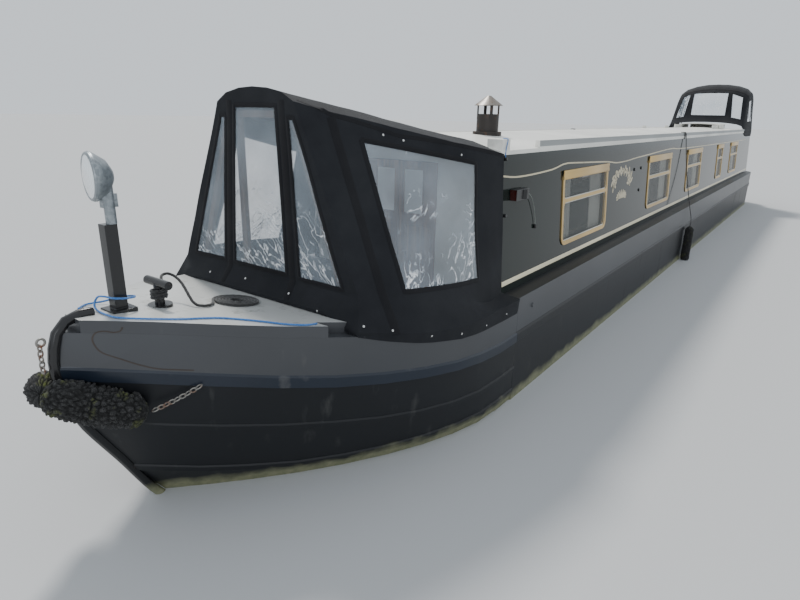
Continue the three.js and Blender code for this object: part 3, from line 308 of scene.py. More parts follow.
bitumen = coated(
    "bitumen",
    (0.010, 0.011, 0.013),
    (0.060, 0.060, 0.058),
    amount=0.40, scale=2.2, streaks=0.55, gloss=0.42, dull=0.68, relief=0.0012,
    also={"Specular IOR Level": 0.35},
)
bow_grey = coated(
    "bow_panel_paint",
    (0.050, 0.053, 0.059),
    (0.10, 0.10, 0.095),
    amount=0.3, scale=4.0, streaks=0.5, gloss=0.36, dull=0.55, relief=0.0004,
)
strake_blue = coated(
    "strake_paint",
    (0.012, 0.018, 0.030),
    (0.09, 0.09, 0.09),
    amount=0.38, scale=6.0, streaks=0.3, gloss=0.3, dull=0.6, relief=0.0008,
)
bar_black = coated(
    "bar_paint",
    (0.014, 0.014, 0.015),
    (0.10, 0.065, 0.045),
    amount=0.34, scale=14.0, streaks=0.3, gloss=0.22, dull=0.6, relief=0.0008,
)
tide_line(bitumen)
tide_line(bar_black)

PANEL_FOOT, PLATING_SIDE, STERN_PANEL_END = 1.045, 1.0, -7.4
for side in ("port", "starboard"):
    plating = f"hull_side_plating_{side}"
    plate = dressed(f"hull_side_{side}", plating, "bitumen", bitumen, bow_grey, edge=0.004)
    painted(plate, 1, lambda face: face.center.z > PANEL_FOOT and abs(face.center.y) > PLATING_SIDE)

# The upper edge of the bow's top strake, as x and height from the stem aft.
TOP_STRAKE = [(8.34, 1.386), (8.13, 1.350), (7.951, 1.312), (7.778, 1.274), (7.582, 1.230), (7.36, 1.185)]
TOP_STRAKE += [(6.987, 1.129), (6.465, 1.070), (6.065, 1.030), (5.7, 1.030)]


def strake_height(x):
    for (x1, z1), (x0, z0) in zip(TOP_STRAKE, TOP_STRAKE[1:]):
        if x >= x0:
            return z0 + (x - x0) / (x1 - x0) * (z1 - z0)
    return TOP_STRAKE[-1][1]


def above_strake(face):
    corners = [bow.data.vertices[k].co for k in face.vertices]
    return max(corner.z - strake_height(corner.x) for corner in corners)


bow = dressed("hull_bow", "hull_bow_plating", "bitumen", bitumen, bow_grey, strake_blue)
painted(bow, 2, lambda face: above_strake(face) > -0.02)
painted(bow, 1, lambda face: above_strake(face) > 0.03)
stern = dressed("hull_stern", "hull_stern_plating", "bitumen", bitumen, bow_grey)
painted(
    stern,
    1,
    lambda face: face.center.z > PANEL_FOOT
    and face.center.x > STERN_PANEL_END
    and abs(face.center.y) > PLATING_SIDE,
)
for node in ("base_plate", "skeg", "stem_bar", "headlamp_post", "bow_t_stud"):
    finish = bitumen if node in ("base_plate", "skeg") else bar_black
    dressed(node, node + "_steel", "bitumen", finish, edge=0.0025)

# The foredeck: steel plate painted light grey, dirty and dulled where people step, with its edge folded
# down and painted like the bow's upper panels.
deck_grey = coated(
    "deck_paint",
    (0.50, 0.51, 0.50),
    (0.20, 0.20, 0.18),
    amount=0.42, scale=9.0, streaks=0.1, gloss=0.32, dull=0.7, relief=0.0006,
)
foredeck = dressed("foredeck", "foredeck_plate", "deck_paint", deck_grey, bow_grey)
painted(foredeck, 1, lambda face: abs(face.normal.z) < 0.5)


# The lines on the foredeck: a black 16 mm line that is turned round the stud's stem, loops over its bar
# and ends in a flat coil, and a thin blue line that goes once round the lamp post and aft along the deck.
# Both are worn rope of twisted strands, paler on the crowns.
def tree_of(*nodes):
    """The CAD nodes' faces as one tree for casting rays."""
    corners, faces = [], []
    for node in nodes:
        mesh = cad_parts[node].data
        start = len(corners)
        corners += [v.co for v in mesh.vertices]
        faces += [[start + k for k in p.vertices] for p in mesh.polygons]
    return BVHTree.FromPolygons(corners, faces)


deck_tree = tree_of("foredeck")
DOWN, INWARD = Vector((0, 0, -1)), Vector((0, -1, 0))


def on_deck(x, y, rise, radius):
    """The centre of a line that lies on the deck there, or off its edge at the edge's height."""
    for nearer in (1, 0.9, 0.75, 0.5, 0):
        hit = deck_tree.ray_cast(Vector((x, y * nearer, 3)), DOWN)[0]
        if hit:
            return Vector((x, y, hit.z + radius + rise))


def smooth_route(points, step):
    """A curve through the points, as a list of points about one step apart."""
    fine = []
    ends = [2 * points[0] - points[1], *points, 2 * points[-1] - points[-2]]
    for before, a, b, after in zip(ends, ends[1:], ends[2:], ends[3:]):
        count = max(2, round((b - a).length / step))
        for i in range(count):
            t = i / count
            square = 2 * before - 5 * a + 4 * b - after
            cube = 3 * a - before - 3 * b + after
            fine.append(0.5 * (2 * a + (b - before) * t + square * t**2 + cube * t**3))
    return [*fine, points[-1]]


def mesh_piece(name, points, faces):
    """A new object in the scene from points and faces."""
    mesh = bpy.data.meshes.new(name)
    mesh.from_pydata(points, [], faces)
    piece = bpy.data.objects.new(name, mesh)
    bpy.context.collection.objects.link(piece)
    return piece


def tube_faces(rings, sides):
    """The faces of a tube of rings of points, closed at both ends."""
    faces = []
    for i in range(rings - 1):
        for j in range(sides):
            k = (j + 1) % sides
            faces.append((i * sides + j, i * sides + k, (i + 1) * sides + k, (i + 1) * sides + j))
    faces.append(tuple(reversed(range(sides))))
    faces.append(tuple(range((rings - 1) * sides, rings * sides)))
    return faces


def ring_sides(route, side):
    """Each point of a route with its run and the two directions across it, turned as little as can be."""
    for i, point in enumerate(route):
        run = (route[min(i + 1, len(route) - 1)] - route[max(i - 1, 0)]).normalized()
        side = (side - run * side.dot(run)).normalized()
        yield i, point, run, side, run.cross(side)


def laid_rope(name, route, radius, strands=3, lay=7.0, sides=12, depth=0.16):
    """A closed tube along a route, whose section is the outline of twisted strands."""
    points, along = [], [0.0]
    for a, b in zip(route, route[1:]):
        along.append(along[-1] + (b - a).length)
    for i, point, _, side, other in ring_sides(route, Vector((0, 0, 1))):
        twist = along[i] / (lay * 2 * radius) * 2 * math.pi
        for j in range(sides):
            angle = 2 * math.pi * j / sides
            bulge = 1 - depth + depth * abs(math.cos(strands * (angle - twist) / 2))
            points.append(point + radius * bulge * (math.cos(angle) * side + math.sin(angle) * other))
    piece = mesh_piece(name, points, tube_faces(len(route), sides))
    mesh = piece.data
    uv = mesh.uv_layers.new(name="along_rope")
    for polygon in mesh.polygons:
        polygon.use_smooth = len(polygon.vertices) == 4
        for loop in polygon.loop_indices:
            vertex = mesh.loops[loop].vertex_index
            turn_share = (vertex % sides) / sides
            if len(polygon.vertices) == 4 and vertex % sides == 0 and polygon.vertices[0] % sides > 0:
                turn_share = 1
            uv.data[loop].uv = (along[vertex // sides] / (2 * math.pi * radius), turn_share)
    return piece


def rope_length(route):
    return sum((b - a).length for a, b in zip(route, route[1:]))


fibre, fibre_in, fibre_out = shader_group(
    "rope_fibres",
    [
        ("Colour", "Color", (0.02, 0.02, 0.02, 1)),
        ("Worn", "Color", (0.1, 0.1, 0.1, 1)),
        ("Green", "Float", 0.0),
    ],
    [("Colour", "Color"), ("Height", "Float")],
)
place = put(fibre, "TexCoord", output="Object")
fine = put(fibre, "TexNoise", place, Scale=240.0, Detail=4.0)
patch = put(fibre, "TexNoise", place, Scale=11.0, Detail=5.0)
crown = put(fibre, "MapRange", fine, 0.42, 0.78)
moss = put(fibre, "MapRange", patch, 0.56, 0.70)
moss = put(fibre, "Math", moss, fibre_in["Green"], operation="MULTIPLY")
yarn = blended(fibre, "RGBA", crown, fibre_in["Colour"], fibre_in["Worn"])
feed(fibre, fibre_out["Colour"], blended(fibre, "RGBA", moss, yarn, (0.115, 0.135, 0.022, 1)))
feed(fibre, fibre_out["Height"], fine)


def rope_material(name, colour, worn, green=0.0, relief=0.004, sheen=0.25):
    values = {"Colour": (*colour, 1), "Worn": (*worn, 1), "Green": green}
    return material_of(name, fibre, values, 0.6, relief, {"Roughness": 0.92, "Sheen Weight": sheen})[0]


black_rope = rope_material("black_rope", (0.012, 0.012, 0.013), (0.075, 0.075, 0.075))
blue_rope = rope_material("blue_rope", (0.02, 0.13, 0.42), (0.16, 0.36, 0.72))

STUD = Vector((7.818, 0, 0))
STUD_TURNS, TURN_RADIUS, TURN_LOW = 3, 0.0355, 0.0385
BLACK_RADIUS, BLACK_PITCH = 0.0078, 0.0166
stud_foot = deck_tree.ray_cast(Vector((STUD.x, 0.1, 3)), DOWN)[0].z
black_points = []
for i in range(12 * STUD_TURNS + 1):
    angle = math.radians(170) + 2 * math.pi * i / 12
    x, y = STUD.x + TURN_RADIUS * math.cos(angle), TURN_RADIUS * math.sin(angle)
    black_points.append(Vector((x, y, stud_foot + TURN_LOW + BLACK_PITCH * i / 12)))
# Places as x, y and rise over the deck, from the stud over its bar to the coil.
BLACK_LOOP = [
    (7.766, -0.034, 0.086),
    (7.756, -0.066, 0.102),
    (7.742, -0.094, 0.118),
    (7.721, -0.112, 0.128),
    (7.696, -0.116, 0.132),
    (7.675, -0.103, 0.127),
    (7.665, -0.074, 0.113),
    (7.665, -0.036, 0.093),
    (7.672, 0.004, 0.068),
    (7.681, 0.044, 0.042),
    (7.686, 0.080, 0.018),
    (7.680, 0.108, 0.005),
    (7.660, 0.126, 0.002),
    (7.632, 0.128, 0.002),
    (7.602, 0.114, 0.002),
    (7.574, 0.090, 0.002),
    (7.552, 0.061, 0.002),
]
LINE_LIFT = 0.008
black_points += [on_deck(x, y, rise, LINE_LIFT) for x, y, rise in BLACK_LOOP]
COIL_PLACE = Vector((7.426, 0.094, 0))
COIL_TURNS, COIL_OUTER, COIL_START, COIL_RISE = 5.6, 0.1235, math.radians(-28), 0.0016
for i in range(int(COIL_TURNS * 16) + 1):
    reach = COIL_OUTER - BLACK_PITCH * i / 16
    angle = COIL_START - 2 * math.pi * i / 16
    x, y = COIL_PLACE.x + reach * math.cos(angle), COIL_PLACE.y + reach * math.sin(angle)
    black_points.append(on_deck(x, y, COIL_RISE, LINE_LIFT))
black_route = smooth_route(black_points, 0.006)
black_line = laid_rope("black_deck_line", black_route, BLACK_RADIUS)
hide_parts("black_line", "deck_coil", "stud_turns")
fitted(black_line, "rope", black_rope)

# Places as x, y and rise, from the starboard edge round the post and aft along the port edge.
BLUE_ROUTE = [
    (8.166, -0.096, 0.002),
    (8.104, -0.150, 0.002),
    (8.030, -0.136, 0.010),
    (7.966, -0.074, 0.040),
    (7.950, 0.000, 0.058),
    (7.970, 0.044, 0.062),
    (8.025, 0.062, 0.065),
    (8.070, 0.046, 0.068),
    (8.090, 0.000, 0.070),
    (8.096, -0.046, 0.058),
    (8.112, -0.052, 0.026),
    (8.120, -0.020, 0.005),
    (8.122, 0.050, 0.002),
    (8.112, 0.130, 0.002),
    (8.064, 0.190, 0.002),
    (7.985, 0.254, 0.002),
    (7.890, 0.300, 0.0008),
    (7.800, 0.330, 0.0008),
    (7.720, 0.366, 0.0008),
    (7.650, 0.436, 0.0008),
    (7.590, 0.512, 0.0008),
    (7.530, 0.600, 0.0008),
    (7.460, 0.660, 0.0008),
    (7.390, 0.672, 0.0008),
]
BLUE_RADIUS = 0.005
blue_route = smooth_route([on_deck(x, y, rise, BLUE_RADIUS) for x, y, rise in BLUE_ROUTE], 0.004)
blue_line = laid_rope("blue_deck_line", blue_route, BLUE_RADIUS, sides=9)
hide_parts("blue_line")
fitted(blue_line, "blue_rope", blue_rope)

# The cabin sides: steel sheet leaning in, in dark green-grey gloss, with a wavy pale line that is a painted
# reflection, a cream band along the foot, and a painted ring of leaves between the first two windows.
cabin_gloss = coated(
    "cabin_gloss",
    (0.012, 0.017, 0.015),
    (0.035, 0.04, 0.035),
    amount=0.2, scale=1.6, streaks=0.3, gloss=0.09, dull=0.24, relief=0.0010,
    also={"Specular IOR Level": 0.2},
)
cream_line = coated(
    "cream_band",
    (0.86, 0.78, 0.55),
    (0.42, 0.38, 0.28),
    amount=0.25, scale=12.0, streaks=0.3, gloss=0.25, dull=0.5, relief=0.0003,
)
# Pale gold for the painted reflection line along the sides and for the painted leaves.
reflection_and_leaf_gold = coated(
    "reflection_and_leaf_paint",
    (0.58, 0.51, 0.34),
    (0.30, 0.27, 0.19),
    amount=0.35, scale=14.0, streaks=0.2, gloss=0.3, dull=0.5, relief=0.0002,
)
SIDE_FOOT, SIDE_FOOT_Z, SIDE_LEAN = 0.896, 1.28, 0.0695
SIDES = ((1, "port"), (-1, "starboard"))
for _, name in SIDES:
    dressed(f"cabin_side_{name}", f"cabin_side_sheet_{name}", "gloss_paint", cabin_gloss)


def side_at(x, z, side=1, proud=0.0):
    """A place on the cabin side's outer face, or proud of it."""
    return Vector((x, side * (SIDE_FOOT - SIDE_LEAN * (z - SIDE_FOOT_Z) + proud), z))


def side_route(points, step):
    """A smooth curve through places given as x and z."""
    return [(p.x, p.z) for p in smooth_route([Vector((x, 0, z)) for x, z in points], step)]


def flat_band(name, half, line, finish, thickness=0.0006, place=side_at):
    """A thin painted band on each side of the boat, along a line of x and z."""
    points, faces = [], []
    for side, _ in SIDES:
        start = len(points)
        for k, (x, z) in enumerate(line):
            back, front = line[max(k - 1, 0)], line[min(k + 1, len(line) - 1)]
            run = Vector((front[0] - back[0], front[1] - back[1])).normalized() * half
            points += [place(x + run.y, z - run.x, side, 0.0002), place(x - run.y, z + run.x, side, 0.0002)]
        for a in range(start, start + 2 * len(line) - 2, 2):
            quad = (a, a + 1, a + 3, a + 2)
            faces.append(quad if side > 0 else tuple(reversed(quad)))
    piece = mesh_piece(name, points, faces)
    modified(piece, "SOLIDIFY", thickness=thickness, offset=1.0)
    return fitted(piece, "gloss_paint", finish)


# The wavy pale line as x and z from the bow aft: a painted reflection on each cabin side.
REFLECTION_LINE = [(5.80, 2.096), (5.60, 2.077), (5.32, 2.076), (4.943, 2.089), (4.788, 2.108), (4.625, 2.120)]
REFLECTION_LINE += [(4.18, 2.104), (3.71, 2.086), (3.50, 2.074), (3.278, 2.056), (2.925, 2.057), (2.54, 2.073)]
REFLECTION_LINE += [(2.114, 2.084), (1.474, 2.104), (0.829, 2.116), (0.18, 2.098), (-2.51, 2.084), (-6.8, 2.078)]
FOOT_BAND = [(5.79, 1.3525), (-7.6, 1.3525)]
flat_band("painted_reflection_lines", 0.006, side_route(REFLECTION_LINE, 0.08), reflection_and_leaf_gold)
flat_band("cream_foot_bands", 0.0175, FOOT_BAND, cream_line)

leaf_points, leaf_faces = [], []


def leaf(x, z, angle, length, side):
    """One painted leaf: a pointed oval on the cabin side."""
    start = len(leaf_points)
    for k in range(10):
        turn = 2 * math.pi * k / 10
        along = math.cos(turn) * length / 2
        across = math.sin(turn) * length * 0.2 * (1 - 0.35 * math.cos(turn))
        px = x + along * math.cos(angle) - across * math.sin(angle)
        pz = z + along * math.sin(angle) + across * math.cos(angle)
        leaf_points.append(side_at(px, pz, side, 0.0006))
    ring = range(start, start + 10)
    leaf_faces.append(tuple(reversed(ring)) if side > 0 else tuple(ring))


def face_outwards(piece):
    open_mesh(piece)
    bpy.ops.mesh.normals_make_consistent(inside=False)
    close_mesh()


# The ring is open at the foot, where a spray of leaves fills it; reaches and turns repeat every 4 leaves.
RING_X, RING_Z, RING_SQUASH, RING_LEAVES = 3.04, 1.862, 0.36, 36
RING_REACH, RING_TURN = (0.345, 0.27, 0.31, 0.235), (130, 50, 95, 160)
SPRAY_Z, SPRAY_WIDTH, SPRAY_HEIGHT, SPRAY_LEAVES = 1.70, 0.13, 0.026, 11
for side, _ in SIDES:
    for k in range(RING_LEAVES):
        angle = math.radians(-28 + 236 * k / (RING_LEAVES - 1))
        reach, lean = RING_REACH[k % 4], angle + math.radians(RING_TURN[k % 4])
        x, z = RING_X + reach * math.cos(angle), RING_Z + reach * RING_SQUASH * math.sin(angle)
        leaf(x, z, lean, 0.085, side)
    for k in range(SPRAY_LEAVES):
        angle = math.radians(-20 + 220 * k / (SPRAY_LEAVES - 1))
        x, z = RING_X + SPRAY_WIDTH * math.cos(angle), SPRAY_Z + SPRAY_HEIGHT * math.sin(angle)
        leaf(x, z, angle, 0.10, side)
leaf_ring = mesh_piece("leaf_ring", leaf_points, leaf_faces)
face_outwards(leaf_ring)
modified(leaf_ring, "SOLIDIFY", thickness=0.0004)
fitted(leaf_ring, "gloss_paint", reflection_and_leaf_gold)

# The scroll on the bow: one thin brown line, painted freehand on the grey panels, that curls back under
# the deck edge on each side.
SCROLL = [(8.112, 1.545), (8.120, 1.528), (8.142, 1.522), (8.168, 1.530), (8.194, 1.526), (8.210, 1.502)]
SCROLL += [(8.209, 1.470), (8.192, 1.434), (8.141, 1.400), (8.080, 1.363), (8.017, 1.336), (7.90, 1.312)]
hull_tree = tree_of("hull_bow", "foredeck", "hull_side_port", "hull_side_starboard")


def panel_at(x, z, side, proud):
    """A place on the bow's outer face, or proud of it."""
    found = [tree.ray_cast(Vector((x, 2, z)), INWARD)[0] for tree in (hull_tree, deck_tree)]
    return Vector((x, side * (max(hit.y for hit in found if hit) + proud), z))


scroll_brown = coated(
    "scroll_paint",
    (0.035, 0.024, 0.018),
    (0.08, 0.07, 0.06),
    amount=0.3, scale=14.0, streaks=0.2, gloss=0.4, dull=0.6, relief=0.0002,
)
flat_band("bow_scroll", 0.0028, side_route(SCROLL, 0.008), scroll_brown, 0.0008, panel_at)

# The roof: cambered steel in cream-white paint, with a steel handrail trunk along each edge whose upper
# band is grey; small mushroom vents and two runners for the sliding hatch stand on it.
roof_white = coated(
    "roof_paint",
    (0.74, 0.735, 0.69),
    (0.44, 0.43, 0.38),
    amount=0.34, scale=5.0, streaks=0.15, gloss=0.35, dull=0.65, relief=0.0006,
)
rail_side_grey = coated(
    "handrail_side_grey",
    (0.22, 0.235, 0.235),
    (0.18, 0.185, 0.18),
    amount=0.3, scale=8.0, streaks=0.4, gloss=0.3, dull=0.5, relief=0.0004,
)
RAIL_SPLIT, RAIL_OUTER, RAIL_END = 2.268, 0.824, 5.21


def scored(piece, *planes):
    """Cuts edges all round a piece where it meets planes, given as (axis across it, place on that axis)."""
    open_mesh(piece)
    for axis, level in planes:
        across = Vector([float(k == axis) for k in range(3)])
        bpy.ops.mesh.select_all(action="SELECT")
        bpy.ops.mesh.bisect(plane_co=across * level, plane_no=across)
    bpy.ops.mesh.select_all(action="DESELECT")
    close_mesh()


# The rail's sides above the split are grey; its top stays the roof's white.
def on_rail(face):
    outer = abs(face.center.y) > RAIL_OUTER and abs(face.normal.y) > 0.6
    return outer and face.center.z > RAIL_SPLIT and face.center.x < RAIL_END


roof = dressed("roof", "roof_plating", "roof_paint", roof_white, rail_side_grey)
scored(roof, (2, RAIL_SPLIT))
painted(roof, 1, on_rail)
dressed("slide_hatch", "slide_hatch_lid", "roof_paint", roof_white, body="slide_hatch")

# The windows: gold-anodised aluminium frames screwed to the side, each with a fixed lower pane and a
# hopper above the bar, both in a pale rubber seal.
gold = coated(
    "gold_anodised",
    (0.62, 0.43, 0.17),
    (0.36, 0.25, 0.11),
    amount=0.3, scale=20.0, streaks=0.3, gloss=0.3, dull=0.5, relief=0.0002,
    also={"Metallic": 0.75},
)
seal = coated(
    "window_seal",
    (0.60, 0.61, 0.58),
    (0.25, 0.26, 0.22),
    amount=0.35, scale=25.0, streaks=0.4, gloss=0.5, dull=0.7, relief=0.0002,
)
glass = coated(
    "window_glass",
    (0.055, 0.07, 0.068),
    (0.14, 0.15, 0.14),
    amount=0.18, scale=3.0, streaks=0.5, gloss=0.02, dull=0.12, relief=0.0002,
    also={"Alpha": 0.34, "Specular IOR Level": 0.8},
)
# Each window's rear and front end, from the bow aft.
WINDOW_ENDS = [(3.557, 4.722), (0.865, 2.015), (-1.332, -0.222), (-3.535, -2.905), (-5.535, -4.535)]
SEAL_WIDTH = 0.009
for _, name in SIDES:
    for k in range(1, len(WINDOW_ENDS) + 1):
        frame_name = f"window_frame_{k}_{name}"
        pane = dressed(f"window_{k}_{name}", frame_name, "window_frame", gold, glass, seal, edge=0)
        open_mesh(pane)
        bpy.ops.mesh.select_mode(type="FACE")
        bpy.ops.mesh.select_all(action="DESELECT")
        close_mesh()
        for face in pane.data.polygons:
            offset = abs(face.center.y) - side_at(0, face.center.z).y
            if abs(face.normal.y) > 0.9 and offset < 0.004 and face.area > 0.01:
                face.material_index = 1
                face.select = offset > -0.01
        before = len(pane.data.polygons)
        bpy.ops.object.mode_set(mode="EDIT")
        bpy.ops.mesh.inset(thickness=SEAL_WIDTH, depth=0, use_individual=True)
        close_mesh()
        for face in pane.data.polygons:
            if face.material_index == 1 and face.area < 0.012 and face.index >= before - 1:
                face.material_index = 2
        softened(pane, 0.0012, 50, 30)

# Over each window's top rail, a gold drip head: a ribbed strip with square ends, screwed through the
# frame so that rain runs off past the hopper.
HEAD_LOW, HEAD_HIGH, HEAD_OUT, HEAD_RIB = 1.992, 2.066, 0.0125, 0.003
HEAD_TALL, HEAD_DEPTH, HEAD_SPARE = HEAD_HIGH - HEAD_LOW, 0.006, 0.006
for side, name in SIDES:
    for k, (x0, x1) in enumerate(WINDOW_ENDS):
        bpy.ops.mesh.primitive_cube_add(size=1)
        head = bpy.context.object
        head.name = f"window_head_{k + 1}_{name}"
        head.data.transform(Matrix.Diagonal((x1 - x0 + HEAD_SPARE, HEAD_DEPTH, HEAD_TALL, 1)))
        scored(head, *[(2, share * HEAD_TALL) for share in (-0.3, -0.12, 0.12, 0.3)])
        for vertex in head.data.vertices:
            if 0.2 < abs(vertex.co.z) / HEAD_TALL < 0.4 and vertex.co.y * side > 0:
                vertex.co.y += side * HEAD_RIB
        modified(head, "BEVEL", width=0.001, segments=2)
        lean = Matrix.Rotation(side * math.atan(SIDE_LEAN), 4, "X")
        place = side_at((x0 + x1) / 2, (HEAD_LOW + HEAD_HIGH) / 2, side, HEAD_OUT)
        head.data.transform(Matrix.Translation(place) @ lean)
        smoothed(head, 35)
        fitted(head, "window_frame", gold)

# The curtains: pale lined cotton, pleated, two drops to a window on one brass-coloured rail a side. The
# weave shows as threads over and under, faded and dusty in places.
cloth, cloth_in, cloth_out = shader_group(
    "woven_cloth",
    [
        ("Colour", "Color", (0.02, 0.02, 0.02, 1)),
        ("Faded", "Color", (0.06, 0.06, 0.065, 1)),
        ("Threads", "Float", 1400.0),
        ("Fading", "Float", 0.5),
    ],
    [("Colour", "Color"), ("Height", "Float")],
)
flat_place = put(cloth, "UVMap")
warp = put(cloth, "VectorMath", flat_place, Scale=cloth_in["Threads"], operation="SCALE")
axes = put(cloth, "SeparateXYZ", warp).node.outputs
under = put(cloth, "Math", axes[0], operation="SINE")
over = put(cloth, "Math", axes[1], operation="SINE")
place = put(cloth, "TexCoord", output="Object")
stain = put(cloth, "TexNoise", place, Scale=3.2, Detail=8.0, Roughness=0.6)
dust = put(cloth, "TexNoise", place, Scale=60.0, Detail=3.0)
share = put(cloth, "MapRange", stain, 0.35, 0.75)
share = put(cloth, "Math", share, cloth_in["Fading"], operation="MULTIPLY")
speck = put(cloth, "MapRange", dust, 0.66, 0.76, 0, 0.35)
share = put(cloth, "Math", share, speck, operation="MAXIMUM")
feed(cloth, cloth_out["Colour"], blended(cloth, "RGBA", share, cloth_in["Colour"], cloth_in["Faded"]))
feed(cloth, cloth_out["Height"], put(cloth, "Math", under, over, operation="MULTIPLY"))


def woven(name, colour, faded, threads=1400.0, fading=0.5, sheen=0.04, rough=0.85, relief=0.0004):
    values = {"Colour": (*colour, 1), "Faded": (*faded, 1), "Threads": threads, "Fading": fading}
    look = {"Roughness": rough, "Specular IOR Level": 0.25, "Sheen Weight": sheen, "Sheen Roughness": 0.45}
    return material_of(name, cloth, values, 0.5, relief, look)[0]


def lay_flat(piece, flat):
    """Gives a cloth its flat places, one for each point, as its UV map."""
    uv = piece.data.uv_layers.new(name="flat_cloth")
    for loop in piece.data.loops:
        uv.data[loop.index].uv = flat[loop.vertex_index]


curtain_cloth = woven(
    "curtain_cotton",
    (0.66, 0.65, 0.58),
    (0.50, 0.49, 0.44),
    threads=3000.0, sheen=0.1, rough=0.9, relief=0.0003,
)
SILL, DROP_TOP, DROP_WIDTH, PLEATS = 1.428, 2.083, 0.33, 8
PLEAT_DEEP, DROP_IN, RAIL_IN, RAIL_Z = 0.0062, 0.0585, 0.058, 2.094
DROP_CLOTH, DROPS_FLAT, DROPS_CLOTH = 0.45, 4.5, 4.4
FORE, AFT = WINDOW_ENDS[0][1], WINDOW_ENDS[-1][0]
for side, name in SIDES:
    points, faces, flat = [], [], []
    for start in [start for x0, x1 in WINDOW_ENDS for start in (x1 - DROP_WIDTH, x0)]:
        first = len(points)
        wide, high = PLEATS * 8, 8
        for j in range(high + 1):
            for i in range(wide + 1):
                share, up = i / wide, j / high
                deep = PLEAT_DEEP * math.cos(2 * math.pi * PLEATS * share) * (0.55 + 0.45 * (1 - up))
                deep += 0.0015 * noise.noise(Vector((start * 7 + share * 3, up * 2, side)))
                z = SILL + (DROP_TOP - SILL) * up
                points.append(side_at(start + DROP_WIDTH * share, z, side, deep - DROP_IN))
                flat.append((share * DROP_CLOTH, z))
        for j in range(high):
            for i in range(wide):
                a = first + j * (wide + 1) + i
                quad = (a, a + 1, a + wide + 2, a + wide + 1)
                faces.append(tuple(reversed(quad)) if side > 0 else quad)
    drops = mesh_piece(f"curtain_drops_{name}", points, faces)
    lay_flat(drops, flat)
    modified(drops, "SOLIDIFY", thickness=0.0015)
    smoothed(drops)
    bpy.ops.mesh.primitive_cylinder_add(
        vertices=16,
        radius=0.008,
        depth=FORE - AFT + 0.12,
        location=side_at((FORE + AFT) / 2, RAIL_Z, side, -RAIL_IN),
        rotation=(0, math.pi / 2, 0),
    )
    rail = bpy.context.object
    rail.name = f"curtain_rail_{name}"
    modified(rail, "BEVEL", width=0.002, segments=2)
    bpy.ops.object.transform_apply(location=True, rotation=True, scale=True)
    smoothed(rail, 40)
    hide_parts(f"curtains_{name}")
    fitted(drops, "curtain", curtain_cloth)
    fitted(rail, "curtain", gold)
    tall = DROP_TOP - SILL

# The joinery: plywood floor, varnished hardwood doors, the painted boarding of the cabin's ends, and the
# timber frame that holds the canvas up at the front.
grain, grain_in, grain_out = shader_group(
    "timber_grain",
    [
        ("Light", "Color", (0.3, 0.15, 0.06, 1)),
        ("Dark", "Color", (0.12, 0.05, 0.02, 1)),
        ("Stretch", "Vector", (30.0, 30.0, 1.5)),
    ],
    [("Colour", "Color"), ("Height", "Float")],
)
place = put(grain, "TexCoord", output="Object")
long = put(grain, "VectorMath", place, grain_in["Stretch"], operation="MULTIPLY")
line = put(grain, "TexNoise", long, Scale=1.0, Detail=6.0, Distortion=0.6)
tone = put(grain, "TexNoise", place, Scale=3.0, Detail=3.0)
share = put(grain, "MapRange", line, 0.3, 0.68)
figure = blended(grain, "RGBA", share, grain_in["Dark"], grain_in["Light"])
shade = put(grain, "MapRange", tone, 0.3, 0.7, 0.8, 1.15)
feed(grain, grain_out["Colour"], put(grain, "VectorMath", figure, Scale=shade, operation="SCALE"))
feed(grain, grain_out["Height"], line)


def timber(name, light, dark, stretch, rough=0.35, coat=0.4):
    values = {"Light": (*light, 1), "Dark": (*dark, 1), "Stretch": stretch}
    look = {"Roughness": rough, "Coat Weight": coat, "Coat Roughness": 0.15}
    return material_of(name, grain, values, 0.3, 0.0006, look)[0]


varnished = timber("varnished_hardwood", (0.32, 0.155, 0.07), (0.13, 0.055, 0.025), (34.0, 34.0, 1.6))
dark_timber = timber(
    "stained_softwood", (0.10, 0.055, 0.03), (0.045, 0.025, 0.014), (30.0, 30.0, 1.4), rough=0.5, coat=0.1
)
plywood = timber(
    "floor_plywood", (0.34, 0.22, 0.12), (0.22, 0.13, 0.07), (1.2, 26.0, 26.0), rough=0.6, coat=0.0
)
boarding = coated(
    "end_boarding",
    (0.72, 0.72, 0.68),
    (0.45, 0.44, 0.4),
    amount=0.25, scale=5.0, streaks=0.3, gloss=0.35, dull=0.6, relief=0.0004,
)
door_pane = coated(
    "door_pane",
    (0.88, 0.91, 0.93),
    (0.6, 0.63, 0.64),
    amount=0.25, scale=6.0, streaks=0.3, gloss=0.04, dull=0.2, relief=0.0002,
)
# Each recess of a front door: from and to across the boat, and from and to in height.
DOOR_PANE, DOOR_PANEL = (0.042, 0.215, 1.765, 2.095), (0.06, 0.29, 0.80, 1.68)
RECESS_EDGE, RECESS = 0.006, 0.008


def panelled(door, side):
    """Sinks a glazed light and a fielded panel into both faces of a door."""
    planes = []
    for inner, outer, low, high in (DOOR_PANE, DOOR_PANEL):
        planes += [(1, side * inner), (1, side * outer), (2, low), (2, high)]
    scored(door, *planes)
    for face in door.data.polygons:
        at = face.center
        for inner, outer, low, high in (DOOR_PANE, DOOR_PANEL):
            if inner < side * at.y < outer and low < at.z < high and abs(face.normal.x) > 0.9:
                face.select = True
    bpy.ops.object.mode_set(mode="EDIT")
    bpy.ops.mesh.inset(thickness=RECESS_EDGE, depth=-RECESS)
    close_mesh()
    door.data.materials.append(door_pane)
    painted(door, 1, lambda face: face.select and face.center.z > DOOR_PANEL[3])
    softened(door, 0.0015, 50, 32)


